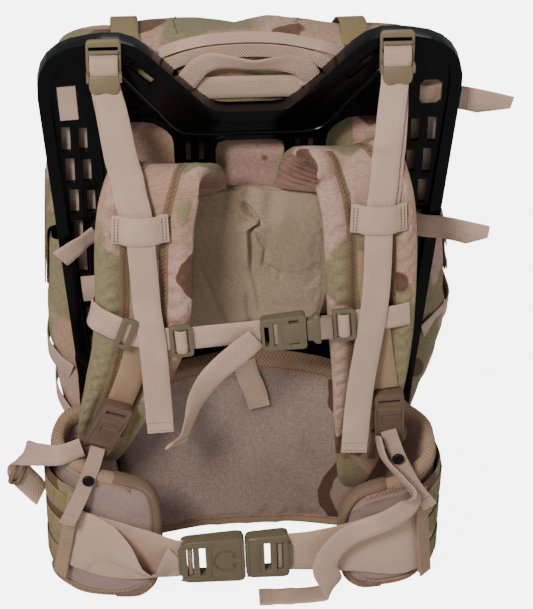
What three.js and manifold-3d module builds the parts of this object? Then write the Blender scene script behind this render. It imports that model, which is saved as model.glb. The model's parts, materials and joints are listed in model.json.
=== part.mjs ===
// Military rucksack: a hollow cloth bag with side pouches on a moulded plastic frame,
// with padded shoulder straps, a padded hip belt, webbing and buckles.
// Millimetres, +Z up, the wearer's side faces -Y, the bag stands on z = 0.
import * as THREE from 'three';
import { mergeVertices } from 'three/addons/utils/BufferGeometryUtils.js';
import Module from 'manifold-3d';

const wasm = await Module();
wasm.setup();

// Frame sizes
const frameTop = 558;
const frameFootHalf = 149;
const frameFlare = 0.081;
const frameShoulder = 507;
const frameFront = -125;
const frameBack = -107;
const webFront = -117;
const webBack = -112;
const lipFront = -121;
const rimWidth = 11;
const lipWidth = 5;
const notchFloor = 482.5;
const railWidth = 50;
const slotPitch = 33.6;
const slotRows = 11;
const firstSlot = 453;

// Cloth, pad and webbing sizes
const clothWall = 2.4;
const bagBack = -104.8;
const crownHeight = 537;
const crownEdge = -80;
const crownBend = 0.006;
const crownSlope = 0.8;
const webbingWidth = 25;
const webbingThick = 1.6;
const beltWidth = 48;
const seatGap = 0.4;
const plasticThick = 5.5;

const materials = {
  frame: new THREE.MeshStandardMaterial({ color: 0x0b0b0d, roughness: 0.28, metalness: 0 }),
  camouflage: new THREE.MeshStandardMaterial({ color: 0xc2a995, roughness: 0.9, metalness: 0 }),
  padCloth: new THREE.MeshStandardMaterial({ color: 0x8c7d66, roughness: 0.95, metalness: 0 }),
  lining: new THREE.MeshStandardMaterial({ color: 0x9c8d88, roughness: 0.95, metalness: 0 }),
  webbing: new THREE.MeshStandardMaterial({ color: 0xcbb29d, roughness: 0.85, metalness: 0 }),
  buckle: new THREE.MeshStandardMaterial({ color: 0x7d7058, roughness: 0.5, metalness: 0 }),
  snap: new THREE.MeshStandardMaterial({ color: 0x151515, roughness: 0.35, metalness: 0 }),
};

const rucksack = new THREE.Group();
rucksack.name = 'military_rucksack';
const meshes = {};

function add(name, geometry, material) {
  geometry.computeVertexNormals();
  const mesh = new THREE.Mesh(geometry, material);
  mesh.name = name;
  mesh.updateMatrixWorld();
  rucksack.add(mesh);
  meshes[name] = mesh;
}

const at = (row) => new THREE.Vector3(row.x, row.y, row.z);
const mix = (a, b, t) => a + (b - a) * t;
const bell = (value, centre, spread) => Math.exp(-(((value - centre) / spread) ** 2));

function signedVolume(points, faces) {
  let total = 0;
  for (let i = 0; i < faces.length; i += 3) {
    const [a, b, c] = [points[faces[i]], points[faces[i + 1]], points[faces[i + 2]]];
    total += a.dot(b.clone().cross(c));
  }
  return total / 6;
}

function geometryOf(points, faces) {
  if (signedVolume(points, faces) < 0) {
    faces.reverse();
  }
  const geometry = new THREE.BufferGeometry();
  geometry.setFromPoints(points);
  geometry.setIndex(faces);
  return geometry;
}

// A closed solid through rings of equal length. The end rings are filled by fans.
function loft(rings) {
  const count = rings[0].length;
  const points = rings.flat();
  const faces = [];
  for (let ring = 0; ring + 1 < rings.length; ring += 1) {
    for (let i = 0; i < count; i += 1) {
      const a = ring * count + i;
      const b = ring * count + ((i + 1) % count);
      faces.push(a, b, b + count, a, b + count, a + count);
    }
  }
  const last = (rings.length - 1) * count;
  if (count === 4) {
    faces.push(2, 1, 0, 3, 2, 0);
    faces.push(last, last + 1, last + 2, last, last + 2, last + 3);
    return geometryOf(points, faces);
  }
  for (const start of [0, last]) {
    const middle = new THREE.Vector3();
    for (let i = 0; i < count; i += 1) {
      middle.addScaledVector(points[start + i], 1 / count);
    }
    const hub = points.push(middle) - 1;
    for (let i = 0; i < count; i += 1) {
      const a = start + i;
      const b = start + ((i + 1) % count);
      faces.push(...(start === 0 ? [b, a, hub] : [a, b, hub]));
    }
  }
  return geometryOf(points, faces);
}

// Stations along a table of rows: centre, tangent, across and normal directions, and the mixed columns.
function stations(rows, perSpan, across, first = 0, last = rows.length - 1) {
  const curve = new THREE.CatmullRomCurve3(rows.map(at), false, 'centripetal');
  const steps = Math.max(1, Math.round((last - first) * perSpan));
  const result = [];
  for (let i = 0; i <= steps; i += 1) {
    const place = mix(first, last, i / steps);
    const low = Math.min(Math.floor(place), rows.length - 2);
    const share = place - low;
    const column = (key) => mix(rows[low][key], rows[low + 1][key], share);
    const tangent = curve.getTangent(place / (rows.length - 1));
    const sideways = rows[low].across
      ? rows[low].across.clone().lerp(rows[low + 1].across, share)
      : across.clone();
    sideways.addScaledVector(tangent, -sideways.dot(tangent)).normalize();
    const normal = sideways.clone().cross(tangent).normalize();
    result.push({ centre: curve.getPoint(place / (rows.length - 1)), tangent, sideways, normal, column });
  }
  return result;
}

const alongX = new THREE.Vector3(1, 0, 0);
const alongY = new THREE.Vector3(0, 1, 0);
const alongZ = new THREE.Vector3(0, 0, 1);
const lean = (x, y, z) => new THREE.Vector3(x, y, z).normalize();

const tailShare = (share) => Math.max(0, (share - 0.4) / 0.6);

// A flat strip of webbing or cloth along a table of rows. A slanted end is cut back at its lower edge.
function ribbon(rows, {
  width = webbingWidth, thick = webbingThick, across = alongX, perSpan = 2, slant = 0,
} = {}) {
  const corners = [[-1, -1], [1, -1], [1, 1], [-1, 1]];
  const places = stations(rows, perSpan, across);
  const rings = places.map((station, i) => corners.map(([side, face]) => station.centre.clone()
    .addScaledVector(station.sideways, side * width / 2)
    .addScaledVector(station.normal, face * thick / 2)
    .addScaledVector(station.tangent, side < 0 ? -slant * tailShare(i / (places.length - 1)) : 0)));
  return loft(rings);
}

// A pad with rounded sections along a table of rows with the columns width and thick.
function pad(rows, { across, perSpan = 2, sides = 12, power = 3, first, last }) {
  const rings = stations(rows, perSpan, across, first, last).map((station) => {
    const ring = [];
    for (let i = 0; i < sides; i += 1) {
      const angle = (i + 0.5) / sides * Math.PI * 2;
      const round = (value) => Math.sign(value) * Math.abs(value) ** (2 / power);
      ring.push(station.centre.clone()
        .addScaledVector(station.sideways, round(Math.cos(angle)) * station.column('width') / 2)
        .addScaledVector(station.normal, round(Math.sin(angle)) * station.column('thick') / 2));
    }
    return ring;
  });
  return loft(rings);
}

// The outline of a rounded rectangle from above, with the same number of points at every size.
function roundedRing({ left, right, back, front, corner }, longSteps = 6, shortSteps = 5, cornerSteps = 3) {
  const ring = [];
  const turns = [
    { x: right - corner, y: back + corner, turn: -90, steps: shortSteps },
    { x: right - corner, y: front - corner, turn: 0, steps: longSteps },
    { x: left + corner, y: front - corner, turn: 90, steps: shortSteps },
    { x: left + corner, y: back + corner, turn: 180, steps: longSteps },
  ];
  turns.forEach((place, index) => {
    for (let i = 0; i <= cornerSteps; i += 1) {
      const angle = THREE.MathUtils.degToRad(place.turn + 90 * i / cornerSteps);
      ring.push({ x: place.x + corner * Math.cos(angle), y: place.y + corner * Math.sin(angle) });
    }
    const next = turns[(index + 1) % 4];
    const angle = THREE.MathUtils.degToRad(place.turn + 90);
    const start = { x: place.x + corner * Math.cos(angle), y: place.y + corner * Math.sin(angle) };
    const end = { x: next.x + corner * Math.cos(angle), y: next.y + corner * Math.sin(angle) };
    for (let i = 1; i < place.steps; i += 1) {
      ring.push({ x: mix(start.x, end.x, i / place.steps), y: mix(start.y, end.y, i / place.steps) });
    }
  });
  return ring;
}

const raycaster = new THREE.Raycaster();

// The y of the wearer's side of the named meshes, the foremost about x, z.
function frontOf(names, x, z, half = webbingWidth / 2, rise = 0) {
  const hits = [];
  for (const side of [-1, -0.5, 0, 0.5, 1]) {
    for (const up of rise > 0 ? [-1, -0.5, 0, 0.5, 1] : [0]) {
      raycaster.set(new THREE.Vector3(x + side * half, -900, z + up * rise), alongY);
      hits.push(...raycaster.intersectObjects(names.map((name) => meshes[name])).map((hit) => hit.point.y));
    }
  }
  return Math.min(...hits);
}

// The height of the named mesh at x, y, the highest of the strip's edges.
function topOf(name, x, y, half = webbingWidth / 2) {
  const hits = [];
  for (const side of [-1, -0.5, 0, 0.5, 1]) {
    raycaster.set(new THREE.Vector3(x + side * half, y, 900), alongZ.clone().negate());
    hits.push(...raycaster.intersectObject(meshes[name]).map((hit) => hit.point.z));
  }
  return Math.max(...hits);
}

function manifoldOf(geometry) {
  const bare = geometry.clone();
  bare.deleteAttribute('normal');
  bare.deleteAttribute('uv');
  const merged = mergeVertices(bare, 1e-3);
  return new wasm.Manifold(new wasm.Mesh({
    numProp: 3,
    vertProperties: new Float32Array(merged.getAttribute('position').array),
    triVerts: new Uint32Array(merged.getIndex().array),
  }));
}

function fromManifold(solid) {
  const mesh = solid.getMesh();
  const geometry = new THREE.BufferGeometry();
  geometry.setAttribute('position', new THREE.BufferAttribute(new Float32Array(mesh.vertProperties), 3));
  geometry.setIndex(new THREE.BufferAttribute(new Uint32Array(mesh.triVerts), 1));
  return geometry;
}

// A slab with an outline in x, z between two depths, and the same cut through by holes.
function slab(outline, front, back) {
  const shape = new THREE.Shape(outline);
  const geometry = new THREE.ExtrudeGeometry(shape, { depth: back - front, bevelEnabled: false });
  geometry.rotateX(Math.PI / 2);
  geometry.translate(0, back, 0);
  return manifoldOf(geometry);
}

function plate(outline, holes, front, back) {
  const cut = (solid, hole) => solid.subtract(slab(hole, front - 1, back + 1));
  return holes.reduce(cut, slab(outline, front, back));
}

const spot = (x, z) => new THREE.Vector2(x, z);

// The outline moved inwards by a distance, or outwards by a negative one.
function inset(outline, distance) {
  const turn = THREE.ShapeUtils.isClockWise(outline) ? -1 : 1;
  return outline.map((point, i) => {
    const before = outline[(i + outline.length - 1) % outline.length];
    const after = outline[(i + 1) % outline.length];
    const into = point.clone().sub(before).normalize();
    const out = after.clone().sub(point).normalize();
    const bisector = spot(-into.y - out.y, into.x + out.x).normalize();
    const reach = distance * turn / Math.max(0.5, bisector.dot(spot(-into.y, into.x)));
    return point.clone().addScaledVector(bisector, reach);
  });
}

function rounded(corners, radius, steps = 3) {
  const path = [];
  corners.forEach((corner, i) => {
    const before = corners[(i + corners.length - 1) % corners.length];
    const after = corners[(i + 1) % corners.length];
    const size = corner.radius ?? radius;
    const start = corner.at.clone().addScaledVector(before.at.clone().sub(corner.at).normalize(), size);
    const end = corner.at.clone().addScaledVector(after.at.clone().sub(corner.at).normalize(), size);
    const curve = new THREE.QuadraticBezierCurve(start, corner.at, end);
    path.push(...curve.getPoints(corner.steps ?? steps));
  });
  return path;
}

const mirrored = (path) => path.map((point) => spot(-point.x, point.y)).reverse();
const railEdge = (z) => frameFootHalf + frameFlare * z;

// The moulded frame
function frameOutline() {
  const half = [
    { at: spot(frameFootHalf, 0), radius: 32, steps: 3 },
    { at: spot(railEdge(frameShoulder + 40) + 1.5, frameTop - 8), radius: 50, steps: 6 },
    { at: spot(108, frameTop + 2), radius: 24, steps: 3 },
    { at: spot(34, notchFloor), radius: 13, steps: 3 },
  ];
  const other = half.map((corner) => ({ ...corner, at: spot(-corner.at.x, corner.at.y) })).reverse();
  return rounded([...half, ...other], 20);
}

function box(x, z, width, height, turn = 0) {
  const corners = [spot(-width / 2, -height / 2), spot(width / 2, -height / 2), spot(width / 2, height / 2),
    spot(-width / 2, height / 2)];
  return corners.map((corner) => corner.rotateAround(spot(0, 0), turn).add(spot(x, z)));
}

function buildFrame() {
  const outline = frameOutline();
  const inner = (z) => railEdge(z) - railWidth;
  const centreWindow = rounded([
    { at: spot(-24, 244) }, { at: spot(24, 244) }, { at: spot(32, 450) }, { at: spot(-32, 450) },
  ], 10, 2);
  const sideWindow = rounded([
    { at: spot(62, 244) }, { at: spot(inner(244), 244) }, { at: spot(inner(472), 472) },
    { at: spot(87, 472) }, { at: spot(70, 456), radius: 8 },
  ], 11, 2);
  const lowWindow = rounded([
    { at: spot(24, 46) }, { at: spot(inner(46), 46) }, { at: spot(inner(188), 188) }, { at: spot(24, 188) },
  ], 14, 2);
  const windows = [centreWindow, sideWindow, mirrored(sideWindow), lowWindow, mirrored(lowWindow)];
  const slots = [];
  for (const side of [-1, 1]) {
    for (let row = 0; row < slotRows; row += 1) {
      const z = firstSlot - row * slotPitch;
      slots.push(box(side * (railEdge(z) - 18.5), z, 8, 26.5));
      slots.push(box(side * (railEdge(z) - 34), z, 7.5, 24));
    }
    slots.push(rounded(box(side * 164, 492, 20, 27).map((corner) => ({ at: corner })), 4, 1));
    slots.push(box(side * 98, 520, 29, 6.5, side * Math.PI * 0.235));
    slots.push(box(side * 44, 436, 4.5, 22));
    slots.push(box(side * 56, 436, 4.5, 22));
    slots.push(box(side * 48, 215, 13, 5));
  }
  let solid = plate(outline, [...windows, ...slots], webFront, webBack);
  solid = solid.add(plate(outline, [inset(outline, rimWidth)], frameFront, frameBack));
  solid = solid.add(slab(box(0, 117, 20, 130), frameFront, webBack));
  for (const window of windows) {
    solid = solid.add(plate(inset(window, -lipWidth), [window], lipFront, webBack));
  }
  for (const side of [-1, 1]) {
    const pocket = rounded([
      { at: spot(side * 92, 484) }, { at: spot(side * 124, 484) }, { at: spot(side * 124, 511) },
      { at: spot(side * 112, 513) },
    ], 4, 1);
    solid = solid.subtract(slab(pocket, webFront - 10, webFront + 2.2));
  }
  return fromManifold(solid);
}

add('frame', buildFrame(), materials.frame);

// Humps and hollows across the lid: columns are the place, the height and the spread.
const lidHumps = [
  { x: -148, rise: 8, spread: 26 },
  { x: -58, rise: 12, spread: 24 },
  { x: -31, rise: -6, spread: 14 },
  { x: 29, rise: 12, spread: 32 },
  { x: 87, rise: -4, spread: 20 },
];

// The height of the lid's crown, falling to the front and to the ends.
function crown(x, y) {
  const humps = lidHumps.reduce((sum, hump) => sum + hump.rise * bell(x, hump.x, hump.spread), 0);
  const reach = Math.max(0, y - crownEdge);
  const bent = Math.min(reach, crownSlope / crownBend / 2);
  const fall = crownBend * bent ** 2 + crownSlope * (reach - bent);
  const fade = 1 - THREE.MathUtils.smoothstep(reach, 90, 170);
  return crownHeight + humps * fade - fall - 9 * Math.abs(x / 172) ** 3;
}

// The bag's wall: columns are the height, half width, back and front depth, corner radius and
// the least distance below the crown.
const bagRows = [
  { z: 0, half: 132, back: -96, front: 80, corner: 30, below: 60 },
  { z: 9, half: 146, back: bagBack, front: 98, corner: 40, below: 60 },
  { z: 50, half: 155, back: bagBack, front: 108, corner: 44, below: 60 },
  { z: 110, half: 162, back: bagBack, front: 112, corner: 44, below: 60 },
  { z: 165, half: 167, back: bagBack, front: 116, corner: 44, below: 60 },
  { z: 220, half: 170, back: bagBack, front: 117, corner: 44, below: 60 },
  { z: 275, half: 171, back: bagBack, front: 115, corner: 44, below: 60 },
  { z: 330, half: 172, back: bagBack, front: 110, corner: 44, below: 60 },
  { z: 385, half: 171, back: bagBack, front: 102, corner: 44, below: 56 },
  { z: 440, half: 169, back: bagBack, front: 90, corner: 44, below: 40 },
  { z: 480, half: 163, back: bagBack, front: 76, corner: 44, below: 28 },
  { z: 505, half: 155, back: bagBack + 0.6, front: 58, corner: 44, below: 21 },
  { z: 524, half: 138, back: bagBack + 8, front: 30, corner: 40, below: 15 },
];
const slump = (x, z) => 4.5 * Math.sin(z / 33 + x / 60) * bell(z, 200, 130);

function bagColumn(z, key) {
  const above = Math.max(1, bagRows.findIndex((row) => row.z >= z));
  const [low, high] = [bagRows[above - 1], bagRows[above]];
  return mix(low[key], high[key], (z - low.z) / (high.z - low.z));
}

function bagRing(row, wall) {
  const ring = roundedRing({
    left: -row.half + wall,
    right: row.half - wall,
    back: row.back + wall,
    front: row.front - wall,
    corner: row.corner,
  });
  const middle = (row.back + row.front) / 2;
  return ring.map(({ x, y }, i) => {
    const front = THREE.MathUtils.smoothstep(y, middle + 30, row.front - 6);
    const gather = row.z > 500 ? 1 + 0.02 * Math.sin(i * 2.4) : 1;
    const floor = wall > 0 ? Math.max(row.z, clothWall) : row.z;
    const z = Math.min(floor, crown(x, y) - row.below);
    return new THREE.Vector3(x * gather, y + front * slump(x, row.z), z);
  });
}

function buildBag() {
  const foot = { ...bagRows[0], half: 70, back: -50, front: 36, corner: 20 };
  const outside = [foot, ...bagRows].map((row) => bagRing(row, 0));
  const kept = bagRows.filter((row, index) => index % 2 === 0 || index > 8);
  const inside = [foot, ...kept].map((row) => bagRing(row, clothWall)).reverse();
  return loft([...outside, ...inside]);
}

add('main_bag', buildBag(), materials.camouflage);

// The lid: a domed cloth panel with a skirt that is deepest at the front.
const lidRows = [
  { scale: 0.4, fall: 0, skirt: 0 },
  { scale: 0.78, fall: 0, skirt: 0 },
  { scale: 0.95, fall: 2, skirt: 0 },
  { scale: 1, fall: 8, skirt: 0.2 },
  { scale: 1.015, fall: 8, skirt: 1 },
];
const lidHalf = 175;
const lidFront = 104;
const lidMiddle = -2;

function lidRing(row, wall) {
  const back = mix(lidMiddle, bagBack, Math.min(row.scale, 1));
  const ring = roundedRing({
    left: -lidHalf * row.scale + wall,
    right: lidHalf * row.scale - wall,
    back: back + wall,
    front: mix(lidMiddle, lidFront, row.scale) - wall,
    corner: 8 + 34 * row.scale,
  });
  return ring.map(({ x, y }) => {
    const sides = 24 * THREE.MathUtils.smoothstep(y, -100, -20);
    const depth = 6 + sides + 15 * THREE.MathUtils.smoothstep(y, 40, 100);
    const lower = row.skirt === 1 ? 0 : wall;
    return new THREE.Vector3(x, y, crown(x, y) - row.fall - row.skirt * depth - lower);
  });
}

add('bag_lid', loft([
  ...lidRows.map((row) => lidRing(row, 0)),
  ...[...lidRows].reverse().map((row) => lidRing(row, clothWall)),
]), materials.camouflage);

add('lid_binding', ribbon([
  { x: -66, y: bagBack - 1.2, z: 531 },
  { x: 0, y: bagBack - 1.2, z: 534 },
  { x: 62, y: bagBack - 1.2, z: 531 },
], { width: 13, thick: 1.4, across: alongZ, perSpan: 3 }), materials.webbing);

// Straps over the lid and down the front of the bag
for (const { side, x } of [{ side: 'left', x: -111 }, { side: 'right', x: 97 }]) {
  const over = [-100, -80, -55, -30, -5, 20, 45, 70, 90].map((y) => ({
    x, y, z: topOf('bag_lid', x, y) + 3.3,
  }));
  const brim = topOf('bag_lid', x, 98.5);
  const down = [
    { x, y: 100.4, z: brim + 2 },
    { x, y: 106, z: brim - 4 },
    { x, y: 108.8, z: brim - 18 },
    { x, y: 109.4, z: brim - 40 },
    { x, y: 111.5, z: brim - 66 },
    { x, y: 116, z: brim - 98 },
    { x, y: 121, z: brim - 126 },
  ];
  add(`lid_strap_${side}`, ribbon([...over, ...down], { perSpan: 1 }), materials.webbing);
}

// Carrying handle in the frame's notch and the band sewn behind it
add('handle_band', ribbon([
  { x: -52, y: bagBack - 1.2, z: 497 },
  { x: 48, y: bagBack - 1.2, z: 497 },
], { width: 23, thick: 1.4, across: alongZ }), materials.webbing);

const handleRows = [
  { x: -40, y: -108.8, z: 510, across: lean(1, 0, 0.15) },
  { x: -43, y: -112, z: 524, across: lean(1, 0.1, 0.4) },
  { x: -33, y: -121, z: 536, across: lean(0.6, 0.15, 0.9) },
  { x: -8, y: -126, z: 538, across: lean(0, 0.5, 0.9) },
  { x: 18, y: -126, z: 533, across: lean(0, 0.4, 0.95) },
  { x: 36, y: -119, z: 526, across: lean(-0.6, 0.3, 0.9) },
  { x: 42, y: -112, z: 517, across: lean(-1, 0.1, 0.4) },
  { x: 36, y: -108.4, z: 505, across: lean(-1, 0, 0.3) },
];
add('haul_handle', ribbon(handleRows, { width: 22, perSpan: 2 }), materials.webbing);

// Side pouches: open cloth cups against the bag's sides, each with a flap over its mouth
const pouchBack = -84;
const pouchFront = 50;
const pouchTop = 330;
const pouchRows = [
  { z: 88, left: 7, right: 6, trim: 16 },
  { z: 100, left: 12, right: 9, trim: 3 },
  { z: 150, left: 16, right: 15, trim: 0 },
  { z: 215, left: 20, right: 27, trim: 0 },
  { z: pouchTop, left: 14, right: 15, trim: 6 },
];

function pouchOut(name, z) {
  const above = Math.max(1, pouchRows.findIndex((row) => row.z >= z));
  const [low, high] = [pouchRows[above - 1], pouchRows[above]];
  return bagColumn(z, 'half') + 0.7 + mix(low[name], high[name], (z - low.z) / (high.z - low.z));
}

function pouchRing(row, wall, name, side) {
  const inner = bagColumn(row.z, 'half') + 0.7;
  const ring = roundedRing({
    left: inner + wall,
    right: inner + row[name] - wall,
    back: pouchBack + row.trim + wall,
    front: pouchFront - row.trim - wall,
    corner: Math.min(10, row[name] / 2) - wall / 2 - 0.5,
  }, 1, 4, 2);
  const z = wall > 0 ? Math.max(row.z, pouchRows[0].z + clothWall) : row.z;
  return ring.map(({ x, y }) => new THREE.Vector3(side * x, y, z));
}

function flapRows(name, side) {
  const inner = bagColumn(pouchTop, 'half');
  const middle = (pouchBack + pouchFront) / 2;
  return [
    { x: side * (inner + 1.9), y: middle, z: pouchTop + 16 },
    { x: side * (inner + 6), y: middle, z: pouchTop + 8 },
    { x: side * (pouchOut(name, pouchTop) + 1), y: middle, z: pouchTop + 3 },
    { x: side * (pouchOut(name, pouchTop - 22) + 2.6), y: middle, z: pouchTop - 22 },
    { x: side * (pouchOut(name, pouchTop - 62) + 2.6), y: middle, z: pouchTop - 62 },
  ];
}

for (const [name, side] of [['left', -1], ['right', 1]]) {
  const outside = pouchRows.map((row) => pouchRing(row, 0, name, side));
  const inside = pouchRows.map((row) => pouchRing(row, clothWall, name, side)).reverse();
  add(`side_pouch_${name}`, loft([...outside, ...inside]), materials.camouflage);
  add(`pouch_flap_${name}`, ribbon(flapRows(name, side), {
    width: 128, thick: 2, across: alongY, perSpan: 2,
  }), materials.camouflage);
}

// Compression straps around the pouches: columns are the side, the height at the frame and at the pouch
const pouchStraps = [
  { name: 'left_upper', pouch: 'left', side: -1, frameZ: 176, pouchZ: 196 },
  { name: 'left_lower', pouch: 'left', side: -1, frameZ: 112, pouchZ: 146 },
  { name: 'right', pouch: 'right', side: 1, frameZ: 210, pouchZ: 232 },
];
for (const { name, pouch, side, frameZ, pouchZ } of pouchStraps) {
  const outer = Math.max(...[-12, 0, 12].map((rise) => pouchOut(pouch, pouchZ + rise))) + 1;
  const tilt = lean(0, (frameZ - pouchZ) / 90, 1);
  add(`pouch_strap_${name}`, ribbon([
    { x: side * (bagColumn(frameZ, 'half') + 4), y: -102, z: frameZ, across: tilt },
    { x: side * (bagColumn(frameZ, 'half') + 15), y: -94, z: mix(frameZ, pouchZ, 0.3), across: tilt },
    { x: side * (outer + 2.6), y: -76, z: mix(frameZ, pouchZ, 0.7), across: tilt },
    { x: side * (outer + 1.4), y: -40, z: pouchZ, across: alongZ },
    { x: side * (outer + 0.8), y: 10, z: pouchZ, across: alongZ },
    { x: side * (outer + 0.6), y: 38, z: pouchZ, across: alongZ },
  ]), materials.webbing);
}

// Padded panel at the wearer's back
const backPadRows = [
  { x: 0, y: -133.3, z: 248, width: 96, thick: 8 },
  { x: 0, y: -133.3, z: 256, width: 132, thick: 19 },
  { x: 0, y: -133.8, z: 290, width: 148, thick: 25 },
  { x: 0, y: -133.8, z: 330, width: 150, thick: 26 },
  { x: 0, y: -133.8, z: 372, width: 148, thick: 25 },
  { x: 0, y: -133.3, z: 398, width: 136, thick: 19 },
  { x: 0, y: -133.3, z: 406, width: 104, thick: 9 },
];
add('back_pad', pad(backPadRows, { across: alongX, perSpan: 1.5, sides: 14, power: 4 }), materials.padCloth);

// Shoulder pads: from the top of the back pad up over a crest and down to the release buckles.
// The left one swings out to the wearer's side, the right one hangs straight.
const shoulderRows = {
  left: [
    { x: -46, y: -140, z: 405.9, width: 48, thick: 10 },
    { x: -52, y: -148, z: 427, width: 58, thick: 15 },
    { x: -66, y: -165, z: 445, width: 70, thick: 16 },
    { x: -86, y: -188, z: 455, width: 84, thick: 16 },
    { x: -97, y: -207, z: 434, width: 87, thick: 17 },
    { x: -101, y: -215, z: 395, width: 88, thick: 17 },
    { x: -102, y: -218, z: 345, width: 88, thick: 17 },
    { x: -107, y: -217, z: 295, width: 86, thick: 17 },
    { x: -120, y: -212, z: 245, width: 76, thick: 16 },
    { x: -134, y: -206, z: 200, width: 62, thick: 15 },
    { x: -144, y: -200, z: 162, width: 48, thick: 12 },
    { x: -149, y: -197, z: 142, width: 34, thick: 7 },
  ],
  right: [
    { x: 46, y: -140, z: 405.9, width: 48, thick: 10 },
    { x: 52, y: -148, z: 434, width: 58, thick: 15 },
    { x: 65, y: -165, z: 459, width: 70, thick: 16 },
    { x: 86, y: -188, z: 467, width: 83, thick: 16 },
    { x: 97, y: -207, z: 441, width: 84, thick: 17 },
    { x: 102, y: -215, z: 395, width: 84, thick: 17 },
    { x: 104, y: -218, z: 345, width: 82, thick: 17 },
    { x: 106, y: -217, z: 295, width: 78, thick: 17 },
    { x: 107, y: -213, z: 245, width: 70, thick: 16 },
    { x: 106, y: -207, z: 200, width: 62, thick: 15 },
    { x: 104, y: -199, z: 150, width: 50, thick: 13 },
    { x: 100, y: -190, z: 104, width: 32, thick: 10 },
    { x: 98, y: -186, z: 86, width: 16, thick: 6 },
  ],
};
for (const side of ['left', 'right']) {
  add(`shoulder_pad_${side}`, pad(shoulderRows[side], { across: alongX, perSpan: 1.5, sides: 10, power: 3 }),
    materials.camouflage);
}

// Rows on the front of the named meshes, lifted off them by a number of webbing layers.
function layered(names, places, layer = 0) {
  return places.map(({ x, z }) => ({
    x, z, y: frontOf(names, x, z) - (seatGap + webbingThick / 2) - layer * (webbingThick + seatGap),
  }));
}

// Webbing sewn along the shoulder pads down to the release buckles
const shoulderWebbing = {
  left: [
    { x: -100, z: 392 }, { x: -101, z: 368 }, { x: -102, z: 340 }, { x: -105, z: 310 }, { x: -111, z: 280 },
    { x: -119, z: 250 }, { x: -127, z: 226 },
  ],
  right: [
    { x: 102, z: 394 }, { x: 103, z: 368 }, { x: 106, z: 340 }, { x: 110, z: 310 }, { x: 114, z: 280 },
    { x: 118, z: 256 }, { x: 121, z: 236 },
  ],
};
for (const side of ['left', 'right']) {
  const rows = layered([`shoulder_pad_${side}`], shoulderWebbing[side]);
  add(`shoulder_webbing_${side}`, ribbon(rows), materials.webbing);
}

// A moulded plastic piece: an outline with holes, set at a place and turned about the three axes.
function moulded(outline, holes, depth, { x, y, z, roll = 0, pitch = 0, yaw = 0 }) {
  const geometry = fromManifold(plate(outline, holes, -depth / 2, depth / 2));
  const turn = new THREE.Euler(pitch, roll, yaw, 'ZXY');
  geometry.applyMatrix4(new THREE.Matrix4().makeRotationFromEuler(turn));
  geometry.translate(x, y, z);
  return geometry;
}

function frameOfPlastic(width, height, radius) {
  return rounded(box(0, 0, width, height).map((corner) => ({ at: corner })), radius, 2);
}

// Ladder-lock buckles on the horns and the load-lifter straps through them
const lockWidth = 31;
const lockHeight = 46;
const lockPlaces = [
  { side: 'left', turn: -1, x: -131, z: 539 },
  { side: 'right', turn: 1, x: 129, z: 541 },
];
for (const { side, x, z } of lockPlaces) {
  const outline = rounded([
    { at: spot(-lockWidth / 2 + 4, -lockHeight / 2), radius: 9 },
    { at: spot(lockWidth / 2 - 4, -lockHeight / 2), radius: 9 },
    { at: spot(lockWidth / 2, -6) }, { at: spot(lockWidth / 2, lockHeight / 2) },
    { at: spot(-lockWidth / 2, lockHeight / 2) }, { at: spot(-lockWidth / 2, -6) },
  ], 4, 2);
  add(`ladder_lock_${side}`, moulded(outline, [box(0, 10, 25.8, 14), box(0, -10, 18, 4)], plasticThick,
    { x, y: -131.6, z, pitch: -0.12 }), materials.buckle);
}

const lifterRuns = {
  left: {
    lock: { x: -131, z: 539 },
    keeper: { x: -104, z: 424 },
    hanging: [
      { x: -102, z: 396 }, { x: -100, z: 352 }, { x: -95, z: 306 }, { x: -92, z: 256 }, { x: -89, z: 203 },
    ],
  },
  right: {
    lock: { x: 129, z: 541 },
    keeper: { x: 107, z: 428 },
    hanging: [
      { x: 107, z: 396 }, { x: 106, z: 350 }, { x: 102, z: 300 }, { x: 96, z: 240 }, { x: 93, z: 170 },
    ],
  },
};

function lifterRows(side) {
  const { lock, keeper, hanging } = lifterRuns[side];
  const padName = `shoulder_pad_${side}`;
  const names = [padName, `shoulder_webbing_${side}`];
  const seat = frontOf([padName], keeper.x, keeper.z, webbingWidth / 2, 8) - 1.6;
  const toLock = (share) => mix(keeper.x, lock.x, share);
  const overPad = (share, y) => ({ x: toLock(share), y, z: topOf(padName, toLock(share), y, 14) + 4.4 });
  const brow = {
    x: toLock(0.1), y: frontOf([padName], toLock(0.1), keeper.z + 15, 14, 4) - 1.8, z: keeper.z + 15,
  };
  const crest = [overPad(0.22, brow.y + 8), overPad(0.32, brow.y + 20), overPad(0.46, brow.y + 34)];
  const up = [
    { x: keeper.x, y: seat, z: keeper.z },
    brow,
    ...crest,
    { x: toLock(0.75), y: -152, z: 502 },
    { x: toLock(0.9), y: -135, z: lock.z - 31 },
    { x: lock.x, y: -127.2, z: lock.z - 18 },
    { x: lock.x, y: -126.4, z: lock.z },
    { x: lock.x, y: -127.6, z: lock.z + 7 },
    { x: lock.x, y: -131.8, z: lock.z + 9.6 },
    { x: lock.x, y: -136.4, z: lock.z + 6.6 },
    { x: lock.x, y: -138.4, z: lock.z - 4 },
    { x: toLock(0.92), y: -142, z: lock.z - 21 },
    { x: toLock(0.75), y: -156.5, z: 506 },
    ...[brow, ...crest].map((row) => ({ x: row.x, y: row.y - 2.4, z: row.z + 2.4 })).reverse(),
    { x: keeper.x, y: seat - 3, z: keeper.z },
  ];
  const far = Math.min(...hanging.slice(0, 3).map(({ x, z }) => frontOf(names, x, z)));
  const down = hanging.map(({ x, z }, i) => ({ x, z, y: far - 4.6 - (i > 2 ? 0.4 * (i - 2) : 0) }));
  return [...up, ...down];
}

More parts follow.
